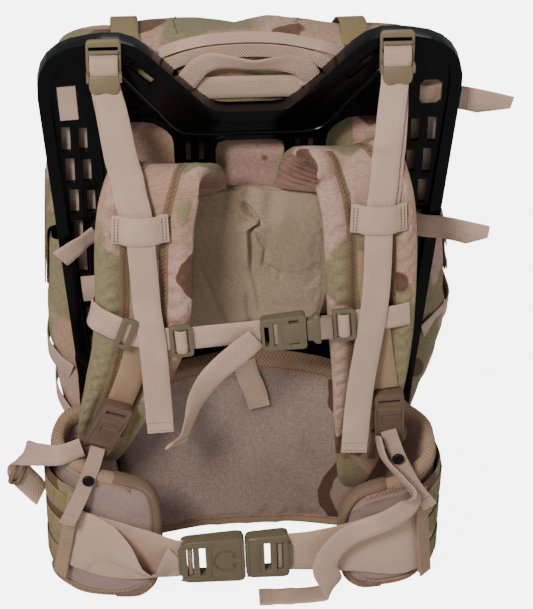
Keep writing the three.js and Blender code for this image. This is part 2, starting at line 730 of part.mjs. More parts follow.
for (const side of ['left', 'right']) {
  add(`load_lifter_${side}`, ribbon(lifterRows(side), { perSpan: 1 }), materials.webbing);
  const { keeper } = lifterRuns[side];
  const over = frontOf([`load_lifter_${side}`], keeper.x, keeper.z, 12, 10) - seatGap - webbingThick / 2;
  const edge = (offset) => ({
    x: keeper.x + offset,
    y: frontOf([`shoulder_pad_${side}`], keeper.x + offset, keeper.z, 3, 12) - 1.4,
    z: keeper.z,
  });
  add(`keeper_loop_${side}`, ribbon([
    { ...edge(-27) },
    { ...edge(-18) },
    { x: keeper.x - 14, y: over - 0.7, z: keeper.z },
    { x: keeper.x + 14, y: over - 0.7, z: keeper.z },
    { ...edge(18) },
    { ...edge(27) },
  ], { width: 24, across: alongZ }), materials.webbing);
}

// Chest strap
const sternumZ = 314;
const sternumTilt = 0.085;
const sternumHeight = (x) => sternumZ + sternumTilt * x;
const sternumNames = ['left', 'right'].flatMap((side) => [
  `shoulder_pad_${side}`, `shoulder_webbing_${side}`,
]);
const sternumOver = (x) => frontOf(sternumNames, x, sternumHeight(x), 5, 13) - webbingThick / 2 - 0.6;
const sternumFront = Math.min(sternumOver(-103), sternumOver(106));
const sternumAcross = lean(-sternumTilt, 0, 1);
const sternumRow = (x, y = sternumFront) => ({ x, y, z: sternumHeight(x) });

add('sternum_strap_left', ribbon([
  sternumRow(-141, sternumOver(-140)), sternumRow(-130, sternumOver(-130)), sternumRow(-117), sternumRow(-95),
  sternumRow(-72, sternumFront - 0.4), sternumRow(-40, sternumFront - 1), sternumRow(2.7, sternumFront - 1.4),
], { across: sternumAcross }), materials.webbing);
add('sternum_strap_right', ribbon([
  sternumRow(67.4, sternumFront - 1.2), sternumRow(88, sternumFront - 0.4), sternumRow(112),
  sternumRow(126, sternumOver(126)), sternumRow(139, sternumOver(138)),
], { across: sternumAcross }), materials.webbing);

const sliderOutline = frameOfPlastic(21, 35, 4);
const sliderHoles = [box(-4.8, 0, 4, 26.4), box(4.8, 0, 4, 26.4)];
const sliderPlaces = [
  { name: 'left', x: -69, back: -3.6 },
  { name: 'right', x: 78.4, back: -4 },
  { name: 'outer', x: -121, back: -3.6 },
];
for (const { name, x, back } of sliderPlaces) {
  const outline = name === 'outer' ? frameOfPlastic(15, 33, 3) : sliderOutline;
  const holes = name === 'outer' ? [box(0, 0, 5, 25)] : sliderHoles;
  add(`sternum_slider_${name}`, moulded(outline, holes, 3.6,
    { x, y: sternumFront + back, z: sternumHeight(x), roll: -sternumTilt }), materials.buckle);
}

const socketOutline = rounded([
  { at: spot(-32, -17) }, { at: spot(9, -19) }, { at: spot(9, 19) }, { at: spot(-32, 17) },
], 4, 2);
const plugOutline = rounded([
  { at: spot(9.6, -15) }, { at: spot(16, -18) }, { at: spot(32, -16) },
  { at: spot(32, 16) }, { at: spot(16, 18) }, { at: spot(9.6, 15) },
], 3, 2);
const buckleSeat = { x: 35, y: sternumFront - 5.2, z: sternumHeight(36), roll: -sternumTilt };
const socketHoles = [box(-27, 0, 4, 26), box(-19, 0, 4, 26), box(-2, 12.5, 9, 5), box(-2, -12.5, 9, 5)];
add('sternum_buckle_socket', moulded(socketOutline, socketHoles, 9, buckleSeat), materials.buckle);
add('sternum_buckle_plug', moulded(plugOutline, [box(26, 0, 5, 25)], 9, buckleSeat), materials.buckle);

add('sternum_tail', ribbon([
  { x: -2, y: sternumFront - 5, z: 310, across: lean(0.1, 0, 1) },
  { x: -18, y: sternumFront - 8, z: 301, across: lean(0.35, 0, 1) },
  { x: -46, y: sternumFront - 7, z: 274, across: lean(0.8, 0.1, 0.7) },
  { x: -60, y: sternumFront + 1, z: 238, across: lean(1, 0.6, 0.3) },
  { x: -72, y: sternumFront + 12, z: 205, across: lean(0.6, 1, 0) },
  { x: -84, y: sternumFront + 20, z: 168, across: lean(0.3, 1, 0) },
]), materials.webbing);

// Release buckles with their half-round bases, pull tabs and snap buttons
const releaseOutline = rounded([
  { at: spot(-14, -26) }, { at: spot(14, -26) }, { at: spot(14, 26) }, { at: spot(-14, 26) },
], 4, 2);
const halfRound = rounded([
  { at: spot(-17, -25), radius: 3 }, { at: spot(-17, -45), radius: 14 }, { at: spot(17, -45), radius: 14 },
  { at: spot(17, -25), radius: 3 },
], 4, 3);
const releases = {
  left: { x: -137, z: 207, roll: 0.42, lift: 4.2 },
  right: { x: 126, z: 208, roll: -0.06, lift: 1.9 },
};

function buildRelease(place) {
  const body = plate(releaseOutline, [box(0, 17, 20, 4), box(0, 7, 20, 4)], -5, 5);
  const base = plate(halfRound, [box(-7, -34, 5, 4), box(7, -34, 5, 4)], -1.5, 3.5);
  const geometry = fromManifold(body.add(base));
  const turn = new THREE.Euler(0.12, place.roll, 0, 'ZXY');
  geometry.applyMatrix4(new THREE.Matrix4().makeRotationFromEuler(turn));
  geometry.translate(place.x, place.y, place.z);
  return geometry;
}

for (const side of ['left', 'right']) {
  const place = releases[side];
  place.y = frontOf([`shoulder_pad_${side}`], place.x, place.z, 16, 28) - place.lift;
  add(`quick_release_${side}`, buildRelease(place), materials.buckle);
}

const tabRuns = {
  left: [
    { x: -148, z: 178, off: 0 }, { x: -152, z: 168, off: 8 }, { x: -158, z: 156, off: 17 },
    { x: -169, z: 132, off: 25 }, { x: -180, z: 108, off: 27 },
  ],
  right: [
    { x: 126, z: 188, off: 0 }, { x: 130, z: 176, off: 2 }, { x: 135, z: 163, off: 7.8 },
    { x: 150, z: 134, off: 16.4 }, { x: 168, z: 107, off: 18 },
  ],
};
for (const side of ['left', 'right']) {
  const [top] = tabRuns[side];
  const near = frontOf([`quick_release_${side}`], top.x, top.z, 5, 1) - 1.3;
  const slope = side === 'left' ? lean(1, 0, -0.5) : lean(1, 0, 0.5);
  add(`pull_tab_${side}`, ribbon(tabRuns[side].map(({ x, z, off }) => ({ x, z, y: near - off })),
    { width: 20, across: slope }), materials.webbing);
  const button = new THREE.CylinderGeometry(6, 6.6, 3, 14);
  const seat = tabRuns[side][2];
  button.translate(seat.x, frontOf([`pull_tab_${side}`], seat.x, seat.z, 6, 6) - 1.5, seat.z);
  add(`snap_${side}`, fromManifold(manifoldOf(button)), materials.snap);
}

// Hip belt: one run from the left wing's end through the lumbar pad to the right wing's end.
// Columns are the place, the bottom and top heights and the thickness.
const beltTable = [
  { x: -95, y: -229, bottom: 42, top: 104, thick: 8 },
  { x: -101, y: -230, bottom: 12, top: 134, thick: 13 },
  { x: -126, y: -231, bottom: -1, top: 146, thick: 14 },
  { x: -161, y: -224, bottom: -1, top: 157, thick: 14 },
  { x: -184, y: -201, bottom: -1, top: 174, thick: 14 },
  { x: -175, y: -171, bottom: -1, top: 180, thick: 15 },
  { x: -140, y: -155, bottom: 0, top: 178, thick: 19 },
  { x: -98, y: -146, bottom: 3, top: 190, thick: 24 },
  { x: -50, y: -141, bottom: 7, top: 211, thick: 26 },
  { x: 0, y: -138.8, bottom: 9, top: 219, thick: 28 },
  { x: 50, y: -141, bottom: 7, top: 211, thick: 26 },
  { x: 98, y: -146, bottom: 3, top: 186, thick: 24 },
  { x: 134, y: -155, bottom: 0, top: 168, thick: 19 },
  { x: 162, y: -172, bottom: -1, top: 158, thick: 15 },
  { x: 168, y: -202, bottom: -0.8, top: 146, thick: 14 },
  { x: 148, y: -225, bottom: -0.8, top: 134, thick: 14 },
  { x: 116, y: -232, bottom: -0.8, top: 126, thick: 14 },
  { x: 93, y: -231, bottom: 12, top: 112, thick: 13 },
  { x: 86, y: -230, bottom: 36, top: 88, thick: 8 },
];
const beltRows = beltTable.map(({ x, y, bottom, top, thick }) => ({
  x, y, z: (bottom + top) / 2, width: top - bottom, thick,
}));
const beltSeams = { left: 6.3, right: 11.7 };
const seamShare = 0.008;
const beltLook = { across: alongZ, sides: 12, power: 5 };
add('belt_wing_left', pad(beltRows, {
  ...beltLook, perSpan: 2, last: beltSeams.left - seamShare,
}), materials.lining);
add('lumbar_pad', pad(beltRows, {
  ...beltLook, perSpan: 2, first: beltSeams.left + seamShare, last: beltSeams.right - seamShare,
}), materials.padCloth);
add('belt_wing_right', pad(beltRows, {
  ...beltLook, perSpan: 2, first: beltSeams.right + seamShare,
}), materials.lining);

// A point outside the belt: place is the row number along the belt, off the distance from its face.
function beltFace(place, off, z) {
  const [station] = stations(beltRows, 1, alongZ, place, place);
  const outward = station.normal.clone().setZ(0).normalize();
  if (outward.dot(new THREE.Vector3(station.centre.x, station.centre.y + 190, 0)) < 0) {
    outward.negate();
  }
  const reach = station.column('thick') / 2 + off;
  const level = z ?? station.centre.z;
  return {
    x: station.centre.x + outward.x * reach, y: station.centre.y + outward.y * reach, z: level,
    width: station.column('width'),
  };
}

const coverSteps = 10;
const coverRuns = [{ side: 'left', from: 2.75, to: 5.8 }, { side: 'right', from: 15.25, to: 12.2 }];
for (const { side, from, to } of coverRuns) {
  const rows = [];
  for (let i = 0; i <= coverSteps; i += 1) {
    rows.push(beltFace(mix(from, to, i / coverSteps), 4.5));
  }
  add(`belt_cover_${side}`, ribbon(rows, {
    width: 118, thick: 3, across: alongZ, perSpan: 1,
  }), materials.camouflage);
}

const beltFront = -243;
add('belt_webbing_left', ribbon([
  beltFace(2.62, 2, 62),
  beltFace(2.3, 2.2, 62),
  beltFace(1.8, 3, 60),
  { x: -100, y: beltFront + 0.4, z: 57 },
  { x: -84, y: beltFront - 1, z: 53 },
  { x: -75, y: beltFront, z: 52 },
], { width: beltWidth, thick: 2, across: alongZ }), materials.webbing);
add('belt_webbing_right', ribbon([
  beltFace(15.38, 2, 78),
  beltFace(15.8, 2.2, 75),
  beltFace(16.4, 2.6, 70),
  { x: 88, y: beltFront + 1, z: 64 },
  { x: 60, y: beltFront - 1, z: 59 },
  { x: 35, y: beltFront, z: 56 },
], { width: beltWidth, thick: 2, across: alongZ }), materials.webbing);

// Hip-belt buckle: two halves that meet at the front
const beltBuckleSeat = { x: -20, y: beltFront, z: 53, roll: -0.045 };
const beltSocket = rounded([
  { at: spot(-52, -25) }, { at: spot(10, -28) }, { at: spot(10, 28) }, { at: spot(-52, 25) },
], 7, 2);
const beltPlug = rounded([
  { at: spot(10.6, -25) }, { at: spot(53, -27) }, { at: spot(53, 27) }, { at: spot(10.6, 25) },
], 6, 2);
add('belt_buckle_left', moulded(beltSocket, [box(-43, 0, 6, 36), box(-31, 0, 6, 36)], 13, beltBuckleSeat),
  materials.buckle);
add('belt_buckle_right', moulded(beltPlug, [box(44, 0, 6, 36), box(32, 0, 6, 36)], 13, beltBuckleSeat),
  materials.buckle);

// Straps from the release buckles to the belt: the left through its adjuster, the right with a free end
add('lower_strap_left', ribbon([
  { x: -166, y: -228.4, z: 184, across: lean(0.3, 0, 1) },
  { x: -181, y: -239, z: 168, across: lean(0.4, 0, 1) },
  { x: -197, y: -226, z: 150, across: lean(0.55, 0.1, 0.83) },
  { x: -208, y: -208, z: 132, across: lean(0.75, 0.2, 0.63) },
  { x: -214, y: -198, z: 118, across: lean(0.93, 0.28, 0.2) },
  { x: -212, y: -192, z: 107, across: lean(0.9, 0.35, -0.25) },
  { x: -208, y: -190, z: 99, across: lean(0.75, 0.4, -0.5) },
  { x: -204.4, y: -190.5, z: 93, across: lean(0.6, 0.42, -0.68) },
], { width: 24, perSpan: 3 }), materials.webbing);
add('adjuster_left', moulded(frameOfPlastic(14, 32, 4), [box(0, 0, 6, 25)], 4,
  { x: -228, y: -194, z: 118, roll: 0.5, yaw: 0.5 }), materials.buckle);

add('lower_strap_right', ribbon([
  { x: 149.2, y: -222.6, z: 197, across: lean(0.1, 0, 1) },
  { x: 155, y: -227, z: 190, across: lean(0.5, 0, 1) },
  { x: 160, y: -238, z: 175, across: lean(1, -0.1, 0.4) },
  { x: 157, y: -252, z: 156, across: lean(0.9, -0.1, -0.4) },
  { x: 144, y: -258, z: 137, across: lean(-0.8, 0, 0.8) },
  { x: 126, y: -257, z: 118, across: lean(-0.55, 0, 1) },
  { x: 102, y: -257, z: 98, across: lean(-0.55, 0, 1) },
  { x: 80, y: -257, z: 74, across: lean(-0.7, 0, 0.8) },
  { x: 70, y: -258, z: 52, across: lean(-1, -0.2, 0.3) },
  { x: 74, y: -257, z: 31, across: lean(-1, -0.4, -0.2) },
  { x: 76, y: -255, z: 15, across: lean(-0.6, -0.8, -0.2) },
  { x: 62, y: -252, z: 6, across: lean(0, -1, 0.1) },
  { x: 36, y: -250, z: 3, across: lean(0, -1, 0.1) },
  { x: 6, y: -249, z: 2.6, across: lean(0, -1, 0.1) },
], { perSpan: 2 }), materials.webbing);

add('harness_tab', ribbon([
  { x: -6, y: -150.5, z: 220 },
  { x: -2, y: -153.3, z: 206 },
  { x: 4, y: -153.7, z: 190 },
  { x: 9, y: -153.9, z: 172 },
], { width: 22 }), materials.webbing);

// Short webbing loops and free ends laced through the frame's slots
const laceFront = webFront - seatGap - webbingThick / 2;
add('frame_loop_top_left', ribbon([
  { x: -163, y: laceFront, z: 475 },
  { x: -164, y: laceFront - 1, z: 492 },
  { x: -165, y: laceFront, z: 509 },
], { width: 17 }), materials.webbing);
add('frame_end_top_right', ribbon([
  { x: 150, y: -110.8, z: 484, across: lean(0.2, 0, 1) },
  { x: 163, y: -110.6, z: 483.5, across: lean(0.2, 0, 1) },
  { x: 171, y: -106.9, z: 482.5, across: lean(0.2, 0, 1) },
  { x: 180, y: -105.6, z: 481.5, across: lean(0.2, 0, 1) },
  { x: 192, y: -105.6, z: 479.5, across: lean(0.2, 0, 1) },
  { x: 212, y: -106.5, z: 475, across: lean(0.25, 0, 1) },
  { x: 240, y: -108.5, z: 468, across: lean(0.3, 0, 1) },
], { slant: 30 }), materials.webbing);
add('frame_end_right', ribbon([
  { x: 147, y: -118.3, z: 353, across: lean(0.05, 0, 1) },
  { x: 155, y: -121.9, z: 353, across: lean(0.05, 0, 1) },
  { x: 163, y: -126.3, z: 353, across: lean(0.05, 0, 1) },
  { x: 180, y: -129.9, z: 353, across: lean(0.05, 0, 1) },
  { x: 200, y: -136.9, z: 352, across: lean(0.1, 0, 1) },
  { x: 222, y: -144.9, z: 350, across: lean(0.15, 0, 1) },
], { slant: 20 }), materials.webbing);
add('frame_end_left', ribbon([
  { x: -143, y: -122.3, z: 354, across: lean(0.5, 0, 1) },
  { x: -150, y: -124.8, z: 350, across: lean(0.5, 0, 1) },
  { x: -158, y: -127.8, z: 345, across: lean(0.5, 0, 1) },
  { x: -168, y: -129.8, z: 338, across: lean(0.5, 0, 1) },
  { x: -177, y: -130.8, z: 331, across: lean(0.5, 0, 1) },
], { width: 22 }), materials.webbing);
add('frame_loop_left', ribbon([
  { x: -150, y: laceFront, z: 302 },
  { x: -149, y: laceFront - 2.5, z: 288 },
  { x: -148, y: laceFront, z: 274 },
], { width: 18 }), materials.webbing);
add('frame_loop_right', ribbon([
  { x: 150, y: laceFront, z: 306 },
  { x: 149, y: laceFront - 2.5, z: 290 },
  { x: 148, y: laceFront, z: 274 },
], { width: 18 }), materials.webbing);

export default rucksack;
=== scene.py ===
import json
import math

import bpy
import numpy as np
from mathutils import Matrix, Vector, noise

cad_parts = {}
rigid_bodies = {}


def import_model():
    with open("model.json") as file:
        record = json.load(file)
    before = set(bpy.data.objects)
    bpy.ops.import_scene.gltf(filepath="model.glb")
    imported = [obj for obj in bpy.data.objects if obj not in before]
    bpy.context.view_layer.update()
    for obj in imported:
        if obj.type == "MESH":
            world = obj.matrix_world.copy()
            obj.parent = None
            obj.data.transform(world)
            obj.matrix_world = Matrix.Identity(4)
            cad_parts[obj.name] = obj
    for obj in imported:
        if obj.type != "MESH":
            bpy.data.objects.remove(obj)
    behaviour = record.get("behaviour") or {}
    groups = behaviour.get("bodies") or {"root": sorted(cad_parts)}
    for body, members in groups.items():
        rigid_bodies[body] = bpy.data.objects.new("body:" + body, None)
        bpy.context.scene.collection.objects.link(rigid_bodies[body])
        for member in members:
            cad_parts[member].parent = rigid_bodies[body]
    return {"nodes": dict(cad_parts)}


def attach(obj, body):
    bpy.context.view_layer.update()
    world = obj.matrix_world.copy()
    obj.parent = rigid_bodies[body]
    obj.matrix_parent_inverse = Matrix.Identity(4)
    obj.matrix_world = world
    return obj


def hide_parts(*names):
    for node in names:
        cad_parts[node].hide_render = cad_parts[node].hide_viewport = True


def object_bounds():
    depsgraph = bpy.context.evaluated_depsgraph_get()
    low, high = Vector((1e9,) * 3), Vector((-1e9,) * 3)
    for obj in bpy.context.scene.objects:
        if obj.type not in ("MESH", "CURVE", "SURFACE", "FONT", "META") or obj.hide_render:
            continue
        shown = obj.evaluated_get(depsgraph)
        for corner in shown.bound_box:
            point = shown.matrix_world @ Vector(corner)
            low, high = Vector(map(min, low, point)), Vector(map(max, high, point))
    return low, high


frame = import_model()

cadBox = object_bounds()
mm = 0.001

# camera

target = Vector((0.0172, -0.125, 0.2666))
azimuth, elevation, roll = (math.radians(angle) for angle in (-5, 36, 1.0))
cameraReach = 2.2
back = Vector((math.sin(azimuth) * math.cos(elevation), -math.cos(azimuth) * math.cos(elevation),
               math.sin(elevation)))
right = Vector((math.cos(azimuth), math.sin(azimuth), 0))
up = right.cross(-back)
camData = bpy.data.cameras.new("camera")
camData.sensor_width = 36
camData.lens = 135.96
camData.clip_end = 30
cam = bpy.data.objects.new("camera", camData)
bpy.context.collection.objects.link(cam)
sideways = right * math.cos(roll) + up * math.sin(roll)
upwards = up * math.cos(roll) - right * math.sin(roll)
columns = (sideways, upwards, back, target + back * cameraReach)
cam.matrix_world = Matrix([[column[k] for column in columns] for k in range(3)] + [[0, 0, 0, 1]])
bpy.context.scene.camera = cam

# small helpers


def clearPick():
    bpy.ops.object.select_all(action="DESELECT")


def pick(obj):
    clearPick()
    obj.select_set(True)
    bpy.context.view_layer.objects.active = obj


def useModifier(obj, kind, **settings):
    pick(obj)
    mod = obj.modifiers.new(kind.lower(), kind)
    for key, value in settings.items():
        setattr(mod, key, value)
    bpy.ops.object.modifier_apply(modifier=mod.name)


def subdivide(obj, levels):
    useModifier(obj, "SUBSURF", levels=levels, render_levels=levels)


def smoothFaces(obj, angle=None):
    pick(obj)
    if angle is None:
        bpy.ops.object.shade_smooth()
    else:
        bpy.ops.object.shade_smooth_by_angle(angle=math.radians(angle))


def editAll(obj, operator, **settings):
    # one operator in edit mode on the whole mesh
    pick(obj)
    bpy.ops.object.mode_set(mode="EDIT")
    bpy.ops.mesh.select_all(action="SELECT")
    operator(**settings)
    bpy.ops.object.mode_set(mode="OBJECT")


def tidyMesh(obj, merge=1e-6, fill=False):
    pick(obj)
    bpy.ops.object.mode_set(mode="EDIT")
    bpy.ops.mesh.select_mode(type="VERT")
    bpy.ops.mesh.select_all(action="SELECT")
    bpy.ops.mesh.remove_doubles(threshold=merge)
    if fill:
        bpy.ops.mesh.fill_holes(sides=0)
    bpy.ops.mesh.select_all(action="SELECT")
    bpy.ops.mesh.normals_make_consistent(inside=False)
    bpy.ops.object.mode_set(mode="OBJECT")


def getPoints(obj, kind="co"):
    points = np.empty(len(obj.data.vertices) * 3)
    obj.data.vertices.foreach_get(kind, points)
    return points.reshape(-1, 3)


def setPoints(obj, points):
    obj.data.vertices.foreach_set("co", np.asarray(points, dtype=np.float64).ravel())
    obj.data.update()


def fade(value, low, high):
    share = np.clip((value - low) / (high - low), 0, 1)
    return share * share * (3 - 2 * share)


def bell(value, width):
    return np.exp(-(value / width) ** 2)


def noiseAt(*parts):
    return np.array([noise.noise(spot) for spot in zip(*np.broadcast_arrays(*parts))])


def paint(obj, mat):
    obj.data.materials.clear()
    obj.data.materials.append(mat)


def keep(obj, mat, nodes=()):
    paint(obj, mat)
    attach(obj, "root")
    if nodes:
        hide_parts(*nodes)
    return obj


def addMesh(name, mesh):
    obj = bpy.data.objects.new(name, mesh)
    obj.data.name = name
    bpy.context.collection.objects.link(obj)
    return obj


def gridSheet(name, longWays, around):
    clearPick()
    bpy.ops.mesh.primitive_grid_add(
        x_subdivisions=longWays, y_subdivisions=around, size=2, location=(0, 0, 0))
    obj = bpy.context.object
    obj.name = name
    obj.data.name = name
    points = getPoints(obj)
    return obj, (points[:, 0] + 1) / 2, (points[:, 1] + 1) / 2


def setUv(obj, uu, vv):
    index = np.empty(len(obj.data.loops), dtype=np.int32)
    obj.data.loops.foreach_get("vertex_index", index)
    flat = np.stack([uu[index], vv[index]], axis=1).astype(np.float32)
    obj.data.uv_layers.active.data.foreach_set("uv", flat.ravel())


# runs: a smooth curve through rows, with the side and face directions along it


def unit(rows):
    return rows / np.maximum(np.linalg.norm(rows, axis=1), 1e-12)[:, None]


def squareTo(rows, tangent):
    return unit(rows - tangent * np.sum(rows * tangent, axis=1)[:, None])


def between(at, along, table):
    return np.stack([np.interp(at, along, table[:, k]) for k in range(3)], axis=1)


def lengthsAlong(points):
    return np.concatenate([[0], np.cumsum(np.linalg.norm(np.diff(points, axis=0), axis=1))])


def curveThrough(points, places):
    low = np.minimum(np.floor(places).astype(int), len(points) - 2)
    share = (places - low)[:, None]
    padded = np.vstack([2 * points[0] - points[1], points, 2 * points[-1] - points[-2]])
    p0, p1, p2, p3 = (padded[low + k] for k in range(4))
    d0, d1, d2 = (np.maximum(np.linalg.norm(b - a, axis=1), 1e-9)[:, None] ** 0.5
                  for a, b in ((p0, p1), (p1, p2), (p2, p3)))
    t1 = ((p1 - p0) / d0 - (p2 - p0) / (d0 + d1) + (p2 - p1) / d1) * d1
    t2 = ((p2 - p1) / d1 - (p3 - p1) / (d1 + d2) + (p3 - p2) / d2) * d1
    c2 = 3 * (p2 - p1) - 2 * t1 - t2
    c3 = 2 * (p1 - p2) + t1 + t2
    return p1 + t1 * share + c2 * share ** 2 + c3 * share ** 3


fewestSteps, stepsPerRow = 40, 24


def makeRun(rows, across=None, columns=(), first=0, last=None):
    last = len(rows) - 1 if last is None else last
    places = np.linspace(first, last, max(fewestSteps, int((last - first) * stepsPerRow)) + 1)
    number = np.arange(len(rows))
    centre = curveThrough(np.array([row[:3] for row in rows]) * mm, places)
    tangent = unit(np.gradient(centre, axis=0))
    if across is None:
        side = between(places, number, np.array([row[3:6] for row in rows], float))
    else:
        side = np.tile(np.array(across, float), (len(places), 1))
    side = squareTo(side, tangent)
    along = lengthsAlong(centre)
    run = {"along": along, "length": along[-1], "centre": centre, "tangent": tangent, "side": side,
           "face": np.cross(side, tangent)}
    for name, values in columns:
        run[name] = np.interp(places, number, np.array(values, float)) * mm
    return run


def onRun(run, key, dist):
    values = run[key]
    if values.ndim == 1:
        return np.interp(dist, run["along"], values)
    mixed = between(dist, run["along"], values)
    return mixed if key == "centre" else unit(mixed)


def strapPoint(run, dist, wide, high):
    wide, high = np.broadcast_to(wide, dist.shape), np.broadcast_to(high, dist.shape)
    return (onRun(run, "centre", dist) + onRun(run, "side", dist) * wide[:, None]
            + onRun(run, "face", dist) * high[:, None])


# the section of a strap, once round from one edge, in shares of its width and thickness
strapRing = np.array([(-0.5, 0), (-0.47, 0.5), (-0.25, 0.5), (0, 0.5), (0.25, 0.5), (0.47, 0.5), (0.5, 0),
                      (0.47, -0.5), (0.25, -0.5), (0, -0.5), (-0.25, -0.5), (-0.47, -0.5), (-0.5, 0)])
strapSides = len(strapRing) - 1
webbingThick = 1.6
webbingStep = 3
hemEdge, hemExtra = 0.8 * mm, 0.85
wavePitch, waistPitch, waistDepth = 22, 60, 0.012


def makeStrap(piece, mat):
    widths = [("wide", piece["widths"])] if "widths" in piece else ()
    run = makeRun(piece["rows"], piece.get("across"), widths)
    length, thick = run["length"], piece.get("thick", webbingThick) * mm
    name = piece.get("name") or piece["node"] + "_cloth"
    obj, u, v = gridSheet(name, max(6, int(length / (piece.get("step", webbingStep) * mm))), strapSides)
    dist = u * length
    wide, high = strapRing[np.rint(v * strapSides).astype(int)].T
    width = onRun(run, "wide", dist) if "widths" in piece else np.full(len(dist), piece["width"] * mm)
    thickness = np.full(len(dist), thick)
    for start, end in piece.get("hems", []):
        low, top = length + start * mm, length + end * mm
        inHem = fade(dist, low - hemEdge, low + hemEdge) * (1 - fade(dist, top - hemEdge, top + hemEdge))
        thickness = thickness + thick * hemExtra * inHem
    wave = piece.get("wave", 0.25) * mm * noiseAt(dist * wavePitch, 0.37 * len(name), wide)
    waist = 1 - waistDepth * np.abs(noiseAt(dist * waistPitch, 3.1, 0.2 * len(name)))
    cut = piece.get("slant", 0) * mm * np.clip((u - 0.4) / 0.6, 0, 1) * -np.minimum(wide, 0) * 2
    setUv(obj, dist, wide * width)
    setPoints(obj, strapPoint(run, dist, wide * waist * width, high * thickness + wave)
              - onRun(run, "tangent", dist) * cut[:, None])
    tidyMesh(obj, fill=True)
    smoothFaces(obj, 55)
    keep(obj, mat, [piece["node"]] if "node" in piece else ())
    return obj, run


def makeStitches(name, points, mat, face, size=(2.2, 0.5), pitch=3.4, zigzag=0.0):
    # one dash modelled once, copied along a line of points that lie on the cloth
    points, faces = np.asarray(points, float), np.asarray(face, float)
    along = lengthsAlong(points)
    count = max(2, int(along[-1] / (pitch * mm)))
    spots = (np.arange(count) + 0.5) / count * along[-1]
    centre = between(spots, along, points)
    tangent = unit(between(np.minimum(spots + mm, along[-1]), along, points)
                   - between(np.maximum(spots - mm, 0), along, points))
    normal = np.tile(faces, (count, 1)) if faces.ndim == 1 else between(spots, along, faces)
    normal = squareTo(normal, tangent)
    across = np.cross(normal, tangent)
    if zigzag:
        lean = np.where(np.arange(count) % 2 == 0, zigzag, -zigzag)
        tangent = tangent * np.cos(lean)[:, None] + across * np.sin(lean)[:, None]
        across = np.cross(normal, tangent)
    clearPick()
    bpy.ops.mesh.primitive_cube_add(size=1, location=(0, 0, 0))
    dash = bpy.context.object
    useModifier(dash, "BEVEL", width=0.22, segments=1, limit_method="NONE")
    shape = getPoints(dash)
    polygons = [tuple(p.vertices) for p in dash.data.polygons]
    bpy.data.objects.remove(dash)
    every = centre[:, None, :] + sum(
        way[:, None, :] * (shape[None, :, k, None] * size[min(k, 1)] * mm)
        for k, way in enumerate((tangent, across, normal)))
    mesh = bpy.data.meshes.new(name)
    dashes = [tuple(i + len(shape) * k for i in polygon) for k in range(count) for polygon in polygons]
    mesh.from_pydata([tuple(p) for p in every.reshape(-1, 3)], [], dashes)
    obj = addMesh(name, mesh)
    tidyMesh(obj, 1e-9)
    smoothFaces(obj)
    keep(obj, mat)


nodeMerge, flatAngle, sharpAngle, smoothAngle = 2e-5, 2, 28, 40


def nodeCopy(name, node):
    source = frame["nodes"][node]
    obj = addMesh(name, source.data.copy())
    obj.matrix_world = source.matrix_world.copy()
    pick(obj)
    bpy.ops.object.transform_apply(location=True, rotation=True, scale=True)
    tidyMesh(obj, nodeMerge)
    return obj


def dissolve(obj, angle):
    editAll(obj, bpy.ops.mesh.dissolve_limited, angle_limit=math.radians(angle))


def moulding(name, node, mat, bevel):
    obj = nodeCopy(name, node)
    dissolve(obj, flatAngle)
    useModifier(obj, "BEVEL", width=bevel * mm, segments=3, limit_method="ANGLE",
                angle_limit=math.radians(sharpAngle), use_clamp_overlap=True, harden_normals=False)
    smoothFaces(obj, smoothAngle)
    return keep(obj, mat, [node])


def seatBlock(obj, place, turn, mat):
    setPoints(obj, getPoints(obj) @ np.array(turn).T + np.array(place) * mm)
    smoothFaces(obj, smoothAngle)
    return keep(obj, mat)


def makeBlock(name, size, place, mat, bevel, turn=np.eye(3)):
    clearPick()
    bpy.ops.mesh.primitive_cube_add(size=1, location=(0, 0, 0))
    obj = bpy.context.object
    obj.name = name
    obj.data.name = name
    setPoints(obj, getPoints(obj) * np.array(size) * mm)
    useModifier(obj, "BEVEL", width=bevel * mm, segments=2, limit_method="NONE")
    return seatBlock(obj, place, turn, mat)


def makePlate(name, outline, thick, place, turn, mat, bevel):
    # a flat outline in x and z, given a thickness and rounded edges
    count = len(outline)
    mesh = bpy.data.meshes.new(name)
    mesh.from_pydata([(x * mm, y * mm, z * mm) for y in (-thick / 2, thick / 2) for x, z in outline], [],
                     [tuple(range(count)), tuple(range(2 * count - 1, count - 1, -1))] + [
        (k, k + count, (k + 1) % count + count, (k + 1) % count) for k in range(count)])
    obj = addMesh(name, mesh)
    tidyMesh(obj, 1e-7)
    useModifier(obj, "BEVEL", width=bevel * mm, segments=2, limit_method="ANGLE",
                angle_limit=math.radians(35))
    return seatBlock(obj, place, turn, mat)


tubeStep, tubeEnd = 4, 0.4


def makeTube(name, rows, radius, mat, around=8, flat=1.0):
    run = makeRun(rows, (0, 1, 0))
    obj, u, v = gridSheet(name, max(4, int(run["length"] / (tubeStep * mm))), around)
    angle = v * 2 * math.pi
    size = radius * mm * np.where((u < 1e-6) | (u > 1 - 1e-6), tubeEnd, 1)
    setPoints(obj, strapPoint(run, u * run["length"], np.cos(angle) * size, np.sin(angle) * size * flat))
    tidyMesh(obj, fill=True)
    smoothFaces(obj, 50)
    keep(obj, mat)


def makeDisc(name, radius, sides):
    # a short cylinder whose flat faces look along y
    clearPick()
    bpy.ops.mesh.primitive_cylinder_add(vertices=sides, radius=radius * mm, depth=3 * mm,
                                        rotation=(math.radians(90), 0, 0))
    obj = bpy.context.object
    obj.name = name
    bpy.ops.object.transform_apply(location=True, rotation=True, scale=True)
    return obj


# materials
tintRichness, tintDepth = 1.5, 0.74


